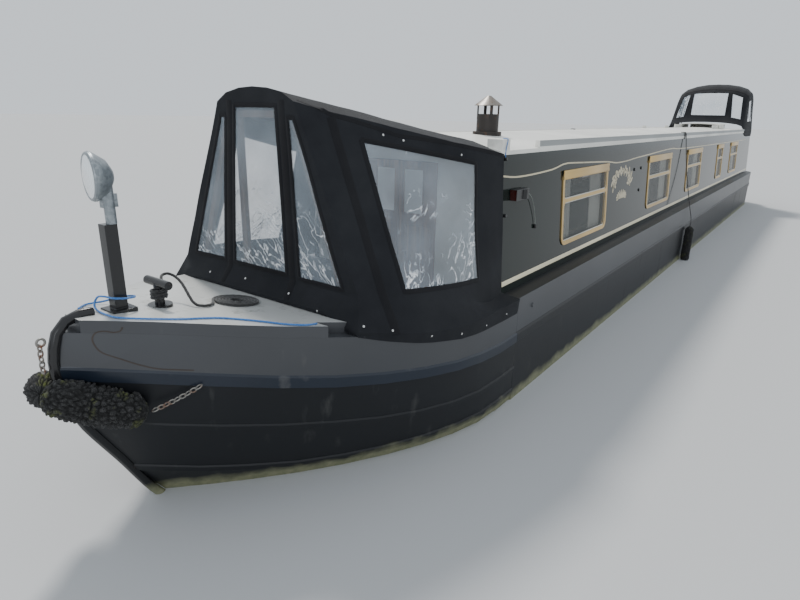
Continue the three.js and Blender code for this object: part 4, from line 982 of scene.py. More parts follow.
# Each piece's CAD node, body, slot and finish.
JOINERY = [
    ("cabin_floor", "boat", "timber", plywood),
    ("front_bulkhead", "boat", "timber", boarding),
    ("rear_bulkhead_port", "boat", "gloss_paint", cabin_gloss),
    ("rear_bulkhead_starboard", "boat", "gloss_paint", cabin_gloss),
    ("rear_door_port", "rear_door_port", "gloss_paint", cabin_gloss),
    ("rear_door_starboard", "rear_door_starboard", "gloss_paint", cabin_gloss),
    ("cratch_frame", "boat", "timber", dark_timber),
    ("engine_board", "boat", "timber", plywood),
]
for node, body, slot, finish in JOINERY:
    dressed(node, node + "_made", slot, finish, body=body, edge=0.002)
for side, name in SIDES:
    node = f"front_door_{name}"
    panelled(dressed(node, node + "_made", "timber", varnished, body=node, edge=0), side)

# The cratch cover: black proofed acrylic canvas over the well deck, held up by the timber frame and the
# plank behind it, with clear vinyl windows sewn in, zip flaps, and a hem that is buttoned to the hull.
# The vinyl has a bluish haze; its creases are painted white as painted highlights in place of glints.
canvas = woven("black_canvas", (0.008, 0.009, 0.012), (0.030, 0.032, 0.036))
binding = woven("canvas_binding", (0.006, 0.006, 0.008), (0.022, 0.023, 0.026), threads=2400.0, fading=0.4)

film = bpy.data.materials.new("clear_vinyl")
film.use_nodes = True
vinyl = film.node_tree
film_inputs = shader_of(film).inputs
film_inputs["Roughness"].default_value = 0.09
film_inputs["IOR"].default_value = 1.45
place = put(vinyl, "TexCoord", output="Object")
turned = put(vinyl, "Mapping", place, Rotation=(math.radians(45), math.radians(-35.3), 0))
drawn = put(vinyl, "VectorMath", turned, (2.4, 2.4, 7.5), operation="MULTIPLY")
fold = put(vinyl, "TexNoise", drawn, Scale=3.0, Detail=5.0, Distortion=0.9)
ridge = put(vinyl, "Math", fold, 0.5, operation="SUBTRACT")
ridge = put(vinyl, "Math", ridge, operation="ABSOLUTE")
crease = put(vinyl, "MapRange", ridge, 0.022, 0.004)
where = put(vinyl, "TexNoise", place, Scale=4.5, Detail=4.0)
height = put(vinyl, "VectorMath", place, (0.2, 0, 1), operation="DOT_PRODUCT", output="Value")
patch = put(vinyl, "Math", height, -0.34, where, operation="MULTIPLY_ADD")
patch = put(vinyl, "MapRange", patch, -0.62, -0.46)
crease = put(vinyl, "Math", crease, patch, operation="MULTIPLY")
haze = put(vinyl, "TexNoise", place, Scale=2.4, Detail=6.0)
haze = put(vinyl, "MapRange", haze, 0.3, 0.75, 0.10, 0.30)
# Painted highlight: the creases turn white and less clear, in place of glints.
feed(vinyl, film_inputs["Base Color"], blended(vinyl, "RGBA", crease, (0.52, 0.6, 0.68, 1), (1, 1, 1, 1)))
feed(vinyl, film_inputs["Alpha"], put(vinyl, "Math", crease, 0.75, haze, operation="MULTIPLY_ADD"))
feed(vinyl, film_inputs["Normal"], put(vinyl, "Bump", Height=fold, Strength=0.6, Distance=0.007))


def lofted_cloth(stations, counts, step):
    """Rows of points over arches: each station is half an arch from the port hem up to the ridge."""
    rows = []
    for half in stations:
        row = []
        for a, b, count in zip(half, half[1:], counts):
            row += [a.lerp(b, k / count) for k in range(count)]
        row.append(half[-1])
        rows.append(row + [Vector((p.x, -p.y, p.z)) for p in reversed(row[:-1])])
    ends = [rows[0], *rows, rows[-1]]
    dense = []
    for before, first, second, after in zip(ends, ends[1:], ends[2:], ends[3:]):
        count = max(1, round(abs(second[len(second) // 2].x - first[len(first) // 2].x) / step))
        for t in [k / count for k in range(count)]:
            row = []
            for a, b, c, d in zip(before, first, second, after):
                square, cube = 2 * a - 5 * b + 4 * c - d, 3 * b - a - 3 * c + d
                row.append(0.5 * (2 * b + (c - a) * t + square * t**2 + cube * t**3))
            dense.append(row)
    return [*dense, rows[-1]]


def cloth_mesh(name, rows, cap=0):
    """The rows as one cloth with its flat places as UV, closed at the last row by a flat panel."""
    wide = len(rows[0])
    middle = wide // 2
    points = [point for row in rows for point in row]
    flat = []
    for row in rows:
        along = [0.0] * wide
        for j in range(middle + 1, wide):
            along[j] = along[j - 1] + (row[j] - row[j - 1]).length
        for j in range(middle - 1, -1, -1):
            along[j] = along[j + 1] - (row[j] - row[j + 1]).length
        flat += [(row[middle].x, along[j]) for j in range(wide)]
    faces = []
    for i in range(len(rows) - 1):
        for a in range(i * wide, i * wide + wide - 1):
            faces.append((a, a + 1, a + wide + 1, a + wide))
    lofted = len(faces)
    if cap:
        last = (len(rows) - 1) * wide
        grid = []
        for k in range(middle):
            port, starboard = points[last + k], points[last + wide - 1 - k]
            across = range(len(points), len(points) + cap - 1)
            points += [port.lerp(starboard, m / cap) for m in range(1, cap)]
            grid.append([last + k, *across, last + wide - 1 - k])
        for lower, upper in zip(grid, grid[1:]):
            faces += [(lower[m], upper[m], upper[m + 1], lower[m + 1]) for m in range(cap)]
        faces += [(grid[-1][m], last + middle, grid[-1][m + 1]) for m in range(cap)]
    piece = mesh_piece(name, points, faces)
    uv = piece.data.uv_layers.new(name="flat_cloth")
    for polygon in piece.data.polygons:
        for loop in polygon.loop_indices:
            vertex = piece.data.loops[loop].vertex_index
            at = points[vertex]
            uv.data[loop].uv = flat[vertex] if polygon.index < lofted else (at.y, at.z)
    return piece


def prism(corners, low, high, axis, grow):
    """A closed prism over corners given in the two axes across the one it runs along."""
    middle = [sum(c[k] for c in corners) / len(corners) for k in (0, 1)]
    ring = []
    for a, b in corners:
        away = math.hypot(a - middle[0], b - middle[1])
        ring.append((a + (a - middle[0]) / away * grow, b + (b - middle[1]) / away * grow))
    points = [(end, a, b) if axis == "x" else (a, end, b) for end in (low, high) for a, b in ring]
    count = len(ring)
    faces = [tuple(range(count)), tuple(range(2 * count - 1, count - 1, -1))]
    faces += [(k, count + k, count + (k + 1) % count, (k + 1) % count) for k in range(count)]
    return points, faces


def window_prisms(fronts, side, front_span, side_span, grow):
    """Prisms through the front windows and, on each side, through the side window."""
    made = [prism(window, *front_span, "x", grow) for window in fronts]
    inner, outer = side_span
    return [*made, prism(side, inner, outer, "y", grow), prism(side, -outer, -inner, "y", grow)]


def cut_cloth(piece, prisms, operation, finish, smooth=None):
    """Cuts a cloth with prisms, or down to what is inside them, and finishes it."""
    points, faces = [], []
    for corners, sides in prisms:
        faces += [tuple(len(points) + k for k in side) for side in sides]
        points += corners
    cutter = mesh_piece("cutter", points, faces)
    face_outwards(cutter)
    modified(piece, "BOOLEAN", operation=operation, solver="MANIFOLD", object=cutter)
    bpy.data.objects.remove(cutter)
    smoothed(piece, smooth)
    piece.data.materials.clear()
    return fitted(piece, "canvas", finish)


def tapes(name, surface, lines, lift=0.0012):
    """Flat bands laid on a surface along lines of (points, width, axis they are seen along)."""
    tree = BVHTree.FromObject(surface, bpy.context.evaluated_depsgraph_get())
    points, faces, flat = [], [], []
    for line, width, seen in lines:
        seen = Vector(seen)
        dense = []
        for a, b in zip(line, line[1:]):
            count = max(2, round((b - a).length / 0.02))
            dense += [a.lerp(b, k / count) for k in range(count)]
        found = [tree.ray_cast(point + seen, -seen) for point in [*dense, line[-1]]]
        found = [hit for hit in found if hit[0]]
        start, along = len(points), 0.0
        for k, (place, normal, _, _) in enumerate(found):
            run = found[min(k + 1, len(found) - 1)][0] - found[max(k - 1, 0)][0]
            across = normal.cross(run).normalized() * width / 2
            if normal.dot(seen) < 0:
                normal, across = -normal, -across
            if k:
                along += (place - found[k - 1][0]).length
            for side, rise in ((-1, 0.0003), (-0.92, 1), (0.92, 1), (1, 0.0003)):
                points.append(place + across * side + normal * lift * rise)
                flat.append((along, side * width / 2))
        for row in range(start, start + 4 * (len(found) - 1), 4):
            faces += [(a, a + 4, a + 5, a + 1) for a in range(row, row + 3)]
    piece = mesh_piece(name, points, faces)
    lay_flat(piece, flat)
    modified(piece, "SOLIDIFY", thickness=0.0008)
    smoothed(piece, 50)
    return fitted(piece, "canvas", binding)


# x of the arch and of its foot, hem, fold, knee's half width and height, crease's, and the ridge.
COVER = [
    (5.812, 5.812, 1.180, 1.288, 0.902, 1.305, 0.847, 2.240, 2.356),
    (6.100, 6.100, 1.186, 1.290, 0.948, 1.318, 0.768, 2.290, 2.396),
    (6.450, 6.450, 1.204, 1.292, 0.955, 1.420, 0.646, 2.362, 2.462),
    (6.800, 6.820, 1.262, 1.328, 0.890, 1.500, 0.490, 2.438, 2.530),
    (7.020, 7.080, 1.330, 1.376, 0.796, 1.560, 0.384, 2.486, 2.572),
    (7.155, 7.228, 1.380, 1.408, 0.746, 1.560, 0.312, 2.522, 2.598),
]
COVER_COUNTS, COVER_STEP, COVER_CAP = (4, 6, 42, 10, 11, 11), 0.022, 34
CLOTH, FILM, FILM_LAP, HULL_GAP, GUNWALE = 0.003, 0.0008, 0.012, 0.006, 1.27


def cover_half(x, foot_x, hem, fold, knee, knee_z, crease, crease_z, ridge):
    plate = hull_tree.ray_cast(Vector((foot_x, 2, min(hem, GUNWALE))), INWARD)[0].y
    rise = ridge - crease_z
    return [
        Vector((foot_x, plate + HULL_GAP, hem)),
        Vector((foot_x, plate + HULL_GAP + 0.012, fold)),
        Vector((x, knee, knee_z)),
        Vector((x, crease, crease_z)),
        Vector((x, crease * 0.72, crease_z + rise * 0.62)),
        Vector((x, crease * 0.36, crease_z + rise * 0.92)),
        Vector((x, 0, ridge)),
    ]


def moved(piece, place_of):
    """Moves each point of a cloth to the place that a function gives for it."""
    piece.data.update()
    places = [place_of(vertex.co.copy(), vertex.normal) for vertex in piece.data.vertices]
    for vertex, place in zip(piece.data.vertices, places):
        vertex.co = place
    piece.data.update()


def settled(at, normal):
    """The cover's hem on the hull and the deck, and slack in the cloth above it."""
    side = 1 if at.y >= 0 else -1
    if at.z < 1.45 and abs(at.y) > 0.6:
        hit = hull_tree.ray_cast(Vector((at.x, 2 * side, at.z)), INWARD * side)[0]
        if hit and abs(at.y) < abs(hit.y) + HULL_GAP:
            at.y = hit.y + side * HULL_GAP
    if at.x > 7.1 and at.z < 1.56:
        hit = hull_tree.ray_cast(Vector((at.x, at.y, 3)), DOWN)[0]
        if hit:
            low = max(1.38, hit.z + 0.004)
            at.z = low + (at.z - 1.38) / (1.56 - 1.38) * (1.56 - low)
    free = min(1, max(0, (at.z - 1.5) / 0.3))
    slack = 0.006 * noise.noise(at * 2.6) + 0.003 * noise.noise(Vector((at.x * 8, at.y * 8, at.z * 3)))
    return at + normal * slack * free


def crinkled(at, normal):
    """The film just inside the canvas, with its small waves."""
    at = at - normal * 0.0045
    wave = noise.noise(Vector((at.x * 22 + at.z * 16, at.y * 20, at.z * 7 - at.x * 6)))
    return at + normal * 0.0022 * wave


SIDE_WINDOW = [(6.859, 2.338), (6.08, 2.193), (6.193, 1.484), (6.89, 1.552)]
FRONT_WINDOWS = [
    [(-0.165, 2.505), (0.179, 2.505), (0.208, 1.59), (-0.255, 1.59)],
    [(0.261, 2.447), (0.309, 2.444), (0.637, 1.582), (0.307, 1.584)],
    [(-0.245, 2.452), (-0.294, 2.451), (-0.65, 1.59), (-0.341, 1.594)],
]
COVER_SPANS = ((7.09, 7.3), (0.3, 1.3))
cover_rows = lofted_cloth([cover_half(*station) for station in COVER], COVER_COUNTS, COVER_STEP)
whole_cover = cloth_mesh("whole_cover", cover_rows, COVER_CAP)
moved(whole_cover, settled)
modified(whole_cover, "SOLIDIFY", thickness=CLOTH)
cover = bpy.data.objects.new("cratch_cover_canvas", whole_cover.data.copy())
bpy.context.collection.objects.link(cover)
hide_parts("cratch_cover")
openings = window_prisms(FRONT_WINDOWS, SIDE_WINDOW, *COVER_SPANS, 0)
cut_cloth(cover, openings, "DIFFERENCE", canvas, 35)

cover_film = cloth_mesh("cratch_cover_film", cover_rows, COVER_CAP)
moved(cover_film, settled)
moved(cover_film, crinkled)
modified(cover_film, "SOLIDIFY", thickness=FILM)
lapped = window_prisms(FRONT_WINDOWS, SIDE_WINDOW, *COVER_SPANS, FILM_LAP)
cut_cloth(cover_film, lapped, "INTERSECT", film)

# Seams as x, half width and height; the straps beside the middle window as width and height.
AHEAD = (1.5, 0, 0)
SEAM = [(6.987, 0.405, 2.45), (7.004, 0.612, 1.987), (7.008, 0.656, 1.886), (7.028, 0.909, 1.359)]
CREASE = [(7.118, 0.294, 2.531), (6.991, 0.404, 2.467), (6.613, 0.591, 2.356), (5.83, 0.85, 2.238)]
STRAPS = [[(0.222, 2.53), (0.252, 1.6), (0.262, 1.47)], [(-0.205, 2.53), (-0.296, 1.6), (-0.306, 1.47)]]


def rim(corners, axis, level, width, seen):
    """A binding round a window whose corners are given across the axis they are seen along."""
    ring = [Vector((level, a, b) if axis == "x" else (a, level, b)) for a, b in corners]
    return ring + ring[:1], width, seen


rims = [rim(window, "x", 7.17, 0.026, AHEAD) for window in FRONT_WINDOWS]
for side, _ in SIDES:
    rims.append(rim(SIDE_WINDOW, "y", 0, 0.03, (0, side * 2, 0)))
    rims.append(([Vector((x, side * y, z)) for x, y, z in SEAM], 0.052, (0, side * 1.5, 0)))
    rims.append(([Vector((x, side * y, z)) for x, y, z in CREASE], 0.024, (0, side * 1.0, 0.6)))
rims += [([Vector((7.17, y, z)) for y, z in strap], 0.05, AHEAD) for strap in STRAPS]
cover_tape = tapes("cratch_cover_bindings", whole_cover, rims)
bpy.data.objects.remove(whole_cover)

# Press studs and turn-buttons of nickelled brass: domed caps riveted through the canvas, which fix the
# hem to the hull and hold the flaps and the top of the cover.
nickel = coated(
    "nickelled_brass",
    (0.72, 0.72, 0.70),
    (0.35, 0.33, 0.28),
    amount=0.3, scale=60.0, streaks=0.1, gloss=0.18, dull=0.4, relief=0.0001,
    also={"Metallic": 0.9},
)
BUTTON_RADIUS, BUTTON_DEPTH = 0.0065, 0.002


def completed(piece, name, slot, finish, smooth=None):
    """Names a piece made of primitives, fixes its place in its mesh, smooths it and fits it to the boat."""
    piece.name = name
    only(piece)
    bpy.ops.object.transform_apply(location=True, rotation=True, scale=True)
    smoothed(piece, smooth)
    return fitted(piece, slot, finish)


def joined(pieces):
    only(*pieces)
    bpy.ops.object.join()
    return bpy.context.object


def button_at(place, normal):
    """One domed cap on a surface."""
    bpy.ops.mesh.primitive_cylinder_add(vertices=18, radius=BUTTON_RADIUS, depth=BUTTON_DEPTH)
    button = bpy.context.object
    open_mesh(button, "DESELECT")
    close_mesh()
    for face in button.data.polygons:
        face.select = face.normal.z > 0.9
    bpy.ops.object.mode_set(mode="EDIT")
    bpy.ops.mesh.inset(thickness=BUTTON_RADIUS * 0.28)
    bpy.ops.mesh.extrude_region_move(TRANSFORM_OT_translate={"value": (0, 0, BUTTON_DEPTH)})
    bpy.ops.transform.resize(value=(0.86, 0.86, 1))
    bpy.ops.mesh.inset(thickness=BUTTON_RADIUS * 0.25)
    bpy.ops.transform.translate(value=(0, 0, 0.0006))
    close_mesh()
    turn = normal.to_track_quat("Z", "Y").to_matrix().to_4x4()
    button.data.transform(Matrix.Translation(place + normal * 0.0012) @ turn)
    return button


FRONT_BUTTONS = [(-0.45, 1.50), (-0.12, 1.515), (0.266, 1.50), (0.515, 1.46)]
SIDE_BUTTONS = [(7.19, 1.43), (7.045, 1.383), (6.8, 1.30), (6.55, 1.25), (6.27, 1.225), (5.996, 1.226)]
SIDE_BUTTONS += [(6.72, 2.362), (6.60, 2.332), (6.2, 2.245)]
button_rays = [((7.3, y, z), AHEAD) for y, z in FRONT_BUTTONS]
for side, _ in SIDES:
    button_rays += [((x, 0.3 * side, z), (0, side * 1.5, 0)) for x, z in SIDE_BUTTONS]
cover_tree = BVHTree.FromObject(cover, bpy.context.evaluated_depsgraph_get())
caps = []
for place, seen in button_rays:
    seen = Vector(seen)
    at, normal, _, _ = cover_tree.ray_cast(Vector(place) + seen, -seen)
    if at:
        caps.append(button_at(at, normal if normal.dot(seen) >= 0 else -normal))
completed(joined(caps), "cratch_cover_buttons", "canvas", nickel, 35)

# The headlamp: a spun galvanised bowl with a fluted pale lens, clamped to a zinc tube that stands in the
# black box-section post at the stem.
zinc = coated(
    "galvanised_steel",
    (0.27, 0.30, 0.32),
    (0.13, 0.15, 0.16),
    amount=0.45, scale=16.0, streaks=0.2, gloss=0.38, dull=0.6, relief=0.0004,
    also={"Metallic": 0.6},
)
tree, base = zinc.node_tree, shader_of(zinc).inputs["Base Color"]
spangle = put(tree, "TexVoronoi", put(tree, "TexCoord", output="Object"), Scale=70.0, output="Color")
tone = put(tree, "MapRange", spangle, 0, 1, 0.75, 1.2)
feed(tree, base, put(tree, "VectorMath", base.links[0].from_socket, Scale=tone, operation="SCALE"))

lens = coated(
    "fluted_lens",
    (0.86, 0.91, 0.93),
    (0.98, 0.99, 0.99),
    amount=0.5, scale=18.0, streaks=0.1, gloss=0.06, dull=0.2, relief=0.0002,
    also={"Coat Weight": 0.8},
)
LAMP_PLACE, LAMP_TURN = Vector((8.064, 0, 2.187)), math.radians(-12)
LENS_AHEAD, LENS_RADIUS, RIM_AHEAD, RIM_RADIUS, RIM_WIRE = 0.0135, 0.097, 0.008, 0.0975, 0.0095
lamp_axis = Vector((math.cos(LAMP_TURN), math.sin(LAMP_TURN), 0))
tree = lens.node_tree
along = put(tree, "Mapping", put(tree, "TexCoord", output="Object"), Rotation=(0, 0, -LAMP_TURN))
flutes = put(tree, "TexWave", along, Scale=22.0, Distortion=0.3, output="Color")
flutes.node.bands_direction = "Y"
feed(tree, shader_of(lens).inputs["Normal"], put(tree, "Bump", Height=flutes, Strength=0.8, Distance=0.003))


def on_lens(face):
    reach = face.center - LAMP_PLACE
    in_front = reach.dot(lamp_axis)
    return in_front > LENS_AHEAD and (reach - lamp_axis * in_front).length < LENS_RADIUS


lamp = dressed("headlamp", "headlamp_on_tube", "galvanised", zinc, lens, edge=0.0015, angle=40, smooth=40)
painted(lamp, 1, on_lens)
bpy.ops.mesh.primitive_torus_add(
    major_segments=56,
    minor_segments=10,
    major_radius=RIM_RADIUS,
    minor_radius=RIM_WIRE,
    location=LAMP_PLACE + lamp_axis * RIM_AHEAD,
    rotation=(0, math.pi / 2, LAMP_TURN),
)
completed(bpy.context.object, "headlamp_rim", "galvanised", zinc)

# The bow fender: tarred rope plaited in a thick button over the stem and two arms along the bow, matted
# and mossy, held by short galvanised chains. The stern fender is a plain bolster of the same work.
plait_rope = rope_material(
    "tarred_plait", (0.010, 0.010, 0.011), (0.085, 0.085, 0.083), green=0.85, relief=0.006, sheen=0.06
)
# Painted shade: the hollows between the knots go near black, by each point's stored knot height.
tree, base = plait_rope.node_tree, shader_of(plait_rope).inputs["Base Color"]
crown = put(tree, "Attribute", output="Fac")
crown.node.attribute_name = "crown"
raised = put(tree, "MapRange", crown, 0.12, 0.8)
feed(tree, base, blended(tree, "RGBA", raised, (0.002, 0.002, 0.002, 1), base.links[0].from_socket))
PLAIT_SIDES = 96


def plaited(name, route, radii, knot, depth, seed):
    """A closed rope-work body round a route, raised in knots whose heights set its painted shade."""
    points, knot_heights_for_shade = [], []
    start = Vector((0, 0, 1)) if abs(route[0].z - route[-1].z) < 0.3 else Vector((1, 0, 0))
    for i, centre, run, side, other in ring_sides(route, start):
        for j in range(PLAIT_SIDES):
            angle = 2 * math.pi * j / PLAIT_SIDES
            out = math.cos(angle) * side + math.sin(angle) * other
            at = centre + out * radii[i]
            wound = at + out * 0.01 + run * 0.3 * angle * knot
            cells = noise.voronoi(wound / knot + Vector((seed, 0, 0)))[0]
            lift = min(1.0, (cells[1] - cells[0]) * 2.4)
            fray = noise.noise(at * 220) * 0.12
            points.append(at + out * depth * (lift - 0.8 + fray))
            knot_heights_for_shade.append(lift + 1.5 * fray)
    piece = mesh_piece(name, points, tube_faces(len(route), PLAIT_SIDES))
    piece.data.attributes.new("crown", "FLOAT", "POINT").data.foreach_set("value", knot_heights_for_shade)
    smoothed(piece)
    return piece


def rolled_ends(places, radii, step, blunt):
    """Points about one step apart along the places, with radii that close to a rounded end at both ends."""
    lengths = [0.0]
    for a, b in zip(places, places[1:]):
        lengths.append(lengths[-1] + (b - a).length)
    count = max(8, round(lengths[-1] / step))
    smooth = smooth_route(places, step / 4)
    total = rope_length(smooth)
    route, sizes, run, k = [], [], 0.0, 0
    for i in range(count + 1):
        want = total * i / count
        while k < len(smooth) - 2 and run + (smooth[k + 1] - smooth[k]).length < want:
            run += (smooth[k + 1] - smooth[k]).length
            k += 1
        part = (want - run) / max(1e-6, (smooth[k + 1] - smooth[k]).length)
        route.append(smooth[k].lerp(smooth[k + 1], min(1, part)))
        along = want / total * lengths[-1]
        j = max(m for m in range(len(lengths) - 1) if lengths[m] <= along + 1e-9)
        radius = radii[j] + (radii[j + 1] - radii[j]) * (along - lengths[j]) / (lengths[j + 1] - lengths[j])
        from_end = min(want, total - want)
        if from_end < blunt:
            radius *= math.sqrt(max(0.02, 1 - (1 - from_end / blunt) ** 2))
        sizes.append(radius)
    return route, sizes


# Each arm as x, height and radius from the stem aft.
FENDER_ARM = [(8.35, 1.250, 0.092), (8.27, 1.205, 0.098), (8.185, 1.165, 0.095), (8.115, 1.138, 0.084)]
FENDER_ARM += [(8.072, 1.124, 0.066)]
ARM_START, ARM_RADIUS, KNOT_INSET = (8.418, 0.012, 1.276), 0.074, 0.003
BALL_X, BALL_LOW, BALL_RADIUS, BALL_STEP, BALL_RINGS = 8.4225, 1.198, 0.081, 0.0055, 33


def plate_half(x, z):
    """Half the breadth of the hull at a place on its side."""
    hit = hull_tree.ray_cast(Vector((x, 2, z)), INWARD)[0]
    return hit.y if hit else 0.02


fender_parts, arm_ends = [], {}
for side, _ in SIDES:
    places = [Vector((ARM_START[0], side * ARM_START[1], ARM_START[2]))]
    places += [Vector((x, side * (plate_half(x, z) + radius * 0.72), z)) for x, z, radius in FENDER_ARM]
    radii = [ARM_RADIUS] + [radius for _, _, radius in FENDER_ARM]
    route, sizes = rolled_ends(places, radii, 0.0055, 0.06)
    sizes = [radius - KNOT_INSET for radius in sizes]
    fender_parts.append(plaited("fender_arm", route, sizes, 0.025, 0.017, side * 3))
    arm_ends[side] = places[-1]
half = (BALL_RINGS - 1) / 2
route = [Vector((BALL_X, 0, BALL_LOW + BALL_STEP * k)) for k in range(BALL_RINGS)]
sizes = [BALL_RADIUS * math.sqrt(max(0.01, 1 - ((k - half) / 16.3) ** 2)) for k in range(BALL_RINGS)]
fender_parts.append(plaited("fender_ball", route, sizes, 0.025, 0.015, 7))
bow_fender = joined(fender_parts)
bow_fender.name = "bow_fender_rope"
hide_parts("bow_fender")
fitted(bow_fender, "rope", plait_rope)

STERN_ROLL = [(-0.345, 0.055), (-0.18, 0.079), (0.0, 0.081), (0.18, 0.079), (0.345, 0.055)]
places = [Vector((-8.421, y, 1.13)) for y, _ in STERN_ROLL]
route, sizes = rolled_ends(places, [radius for _, radius in STERN_ROLL], 0.0085, 0.05)
sizes = [radius - KNOT_INSET for radius in sizes]
stern_fender = plaited("stern_fender_rope", route, sizes, 0.026, 0.011, 11)
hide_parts("stern_fender")
fitted(stern_fender, "rope", plait_rope)

chain_zinc = coated(
    "rusty_chain",
    (0.25, 0.24, 0.22),
    (0.20, 0.07, 0.025),
    amount=0.55, scale=30.0, streaks=0.2, gloss=0.4, dull=0.8, relief=0.0008,
    also={"Metallic": 0.5},
)
LINK, LINK_WIRE = 0.036, 0.0036


def chain(name, start, end, sag=0.0):
    """Oval links from one place to another, each turned a quarter round from the last."""
    count = max(2, round((end - start).length / (LINK - 2.2 * LINK_WIRE)))
    links = []
    for k in range(count):
        share = (k + 0.5) / count
        at = start.lerp(end, share) - Vector((0, 0, sag * 4 * share * (1 - share)))
        slope = (end - start) / count - Vector((0, 0, sag * 4 * (1 - 2 * share) / count))
        bpy.ops.mesh.primitive_torus_add(
            major_segments=16, minor_segments=7, major_radius=LINK * 0.31, minor_radius=LINK_WIRE
        )
        ring = bpy.context.object
        ring.data.transform(Matrix.Diagonal((1.45, 1.0, 1.0, 1.0)))
        turn = slope.to_track_quat("X", "Z").to_matrix().to_4x4()
        quarter = Matrix.Rotation(math.pi / 2 * (k % 2) + 0.3, 4, "X")
        ring.data.transform(Matrix.Translation(at) @ turn @ quarter)
        links.append(ring)
    completed(joined(links), name, "galvanised", chain_zinc)


LUG_X, LUG_Z = 7.885, 1.236
for side, name in SIDES:
    start = Vector((8.06, side * (abs(arm_ends[side].y) + 0.02), 1.13))
    lug = Vector((LUG_X, side * (plate_half(LUG_X, LUG_Z) + 0.016), LUG_Z))
    chain(f"bow_chain_{name}", start, lug, sag=0.006)
chain("stem_chain", Vector((8.392, 0, 1.37)), Vector((8.388, 0, 1.497)))
bpy.ops.mesh.primitive_torus_add(
    major_segments=24,
    minor_segments=10,
    major_radius=0.017,
    minor_radius=0.0055,
    location=(8.381, 0, 1.508),
    rotation=(math.pi / 2, 0, 0),
)
completed(bpy.context.object, "stem_shackle", "galvanised", chain_zinc)

# The side fenders: bottle-shaped rope fenders against the rubbing strake, each hung by a doubled line
# from a black steel hook over the handrail.
FENDER_X, FENDER_Y = 0.12, 1.1042
SIDE_FENDER = [(0.473, 0.036), (0.52, 0.062), (0.74, 0.062), (0.96, 0.06), (1.01, 0.022)]
hook_black = coated(
    "hook_paint",
    (0.012, 0.012, 0.012),
    (0.08, 0.08, 0.08),
    amount=0.35, scale=30.0, streaks=0.3, gloss=0.35, dull=0.6, relief=0.0003,
)
for side, name in SIDES:
    places = [Vector((FENDER_X, side * FENDER_Y, z)) for z, _ in SIDE_FENDER]
    route, sizes = rolled_ends(places, [radius for _, radius in SIDE_FENDER], 0.0085, 0.03)
    sizes = [radius - 0.0025 for radius in sizes]
    body = plaited(f"side_fender_rope_{name}", route, sizes, 0.021, 0.008, 17 + side)
    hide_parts(f"side_fender_{name}")
    fitted(body, "rope", plait_rope)
    dressed(f"fender_hook_{name}", f"fender_hook_made_{name}", "lamp_plastic", hook_black, edge=0.0012)
    dressed(f"fender_line_{name}", f"fender_line_made_{name}", "rope", black_rope, edge=0, smooth=60)

# The chimney: a cast-iron collar and a blackened pipe with a conical hat on strap legs, rusting all over,
# the hat's upward faces paler as a painted sunlit highlight.
soot = coated(
    "rusty_iron",
    (0.022, 0.018, 0.016),
    (0.16, 0.075, 0.035),
    amount=0.5, scale=22.0, streaks=0.3, gloss=0.5, dull=0.85, relief=0.0012,
    also={"Metallic": 0.2},
)
# The hat's upward faces: paler as a painted sunlit highlight, with rust in patches.
hat_top_painted_light = coated(
    "rusty_hat_painted_sunlit",
    (0.17, 0.15, 0.13),
    (0.10, 0.055, 0.03),
    amount=0.5, scale=24.0, streaks=0.3, gloss=0.4, dull=0.8, relief=0.0006,
    also={"Metallic": 0.3},
)
HAT_FOOT = 2.555
chimney = dressed("chimney", "chimney_made", "cast_iron", soot, hat_top_painted_light, edge=0.0015, angle=40, smooth=40)
# Painted highlight: the hat's upward faces take the pale finish.
painted(chimney, 1, lambda face: face.center.z > HAT_FOOT and face.normal.z > 0.1)

# The navigation lights: black plastic boxes on the cabin side near the bow, with a dark lens each and a
# stiff pale cable that loops down to its socket.
lamp_black = coated(
    "lamp_plastic",
    (0.010, 0.010, 0.011),
    (0.07, 0.06, 0.05),
    amount=0.3, scale=24.0, streaks=0.2, gloss=0.3, dull=0.5, relief=0.0002,
)
cable_grey = coated(
    "cable_sheath",
    (0.17, 0.19, 0.17),
    (0.1, 0.11, 0.1),
    amount=0.3, scale=30.0, streaks=0.1, gloss=0.45, dull=0.6, relief=0.0001,
)
LENS_COLOURS = {"port": (0.035, 0.006, 0.005), "starboard": (0.005, 0.028, 0.012)}
# The cable's places as x, height and distance from the side, from the light to the socket.
CABLE = [(5.482, 1.955, 0.012), (5.44, 1.957, 0.016), (5.385, 1.935, 0.018), (5.33, 1.88, 0.016)]
CABLE += [(5.29, 1.80, 0.012), (5.27, 1.74, 0.009), (5.265, 1.70, 0.0085)]
CABLE_RADIUS, SOCKET = 0.0026, (5.265, 1.692, 0.0085)


def on_nav_lens(face):
    facing = abs(face.normal.y) > 0.6 or face.normal.x > 0.5
    return face.center.x > lens_start and facing and face.area > 0.0004


for side, name in SIDES:
    tint = coated(
        f"nav_lens_{name}",
        LENS_COLOURS[name],
        (0.03, 0.02, 0.02),
        amount=0.3, scale=20.0, streaks=0.2, gloss=0.08, dull=0.3, relief=0.0001,
        also={"Coat Weight": 0.7},
    )
    node, made = f"nav_light_{name}", f"nav_light_made_{name}"
    light = dressed(node, made, "lamp_plastic", lamp_black, tint, edge=0.003, angle=40, smooth=40)
    low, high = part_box(node)
    lens_start = low[0] + 0.45 * (high[0] - low[0])
    painted(light, 1, on_nav_lens)
    route = smooth_route([side_at(x, z, side, out) for x, z, out in CABLE], 0.008)
    cable = laid_rope(f"nav_cable_{name}", route, CABLE_RADIUS, strands=1, sides=10, depth=0.0)
    fitted(cable, "lamp_plastic", cable_grey)
    place = side_at(SOCKET[0], SOCKET[1], side, SOCKET[2])
    bpy.ops.mesh.primitive_cylinder_add(vertices=20, radius=0.011, depth=0.03, location=place)
    socket = bpy.context.object
    modified(socket, "BEVEL", width=0.003, segments=3)
    completed(socket, f"nav_socket_{name}", "lamp_plastic", lamp_black, 40)

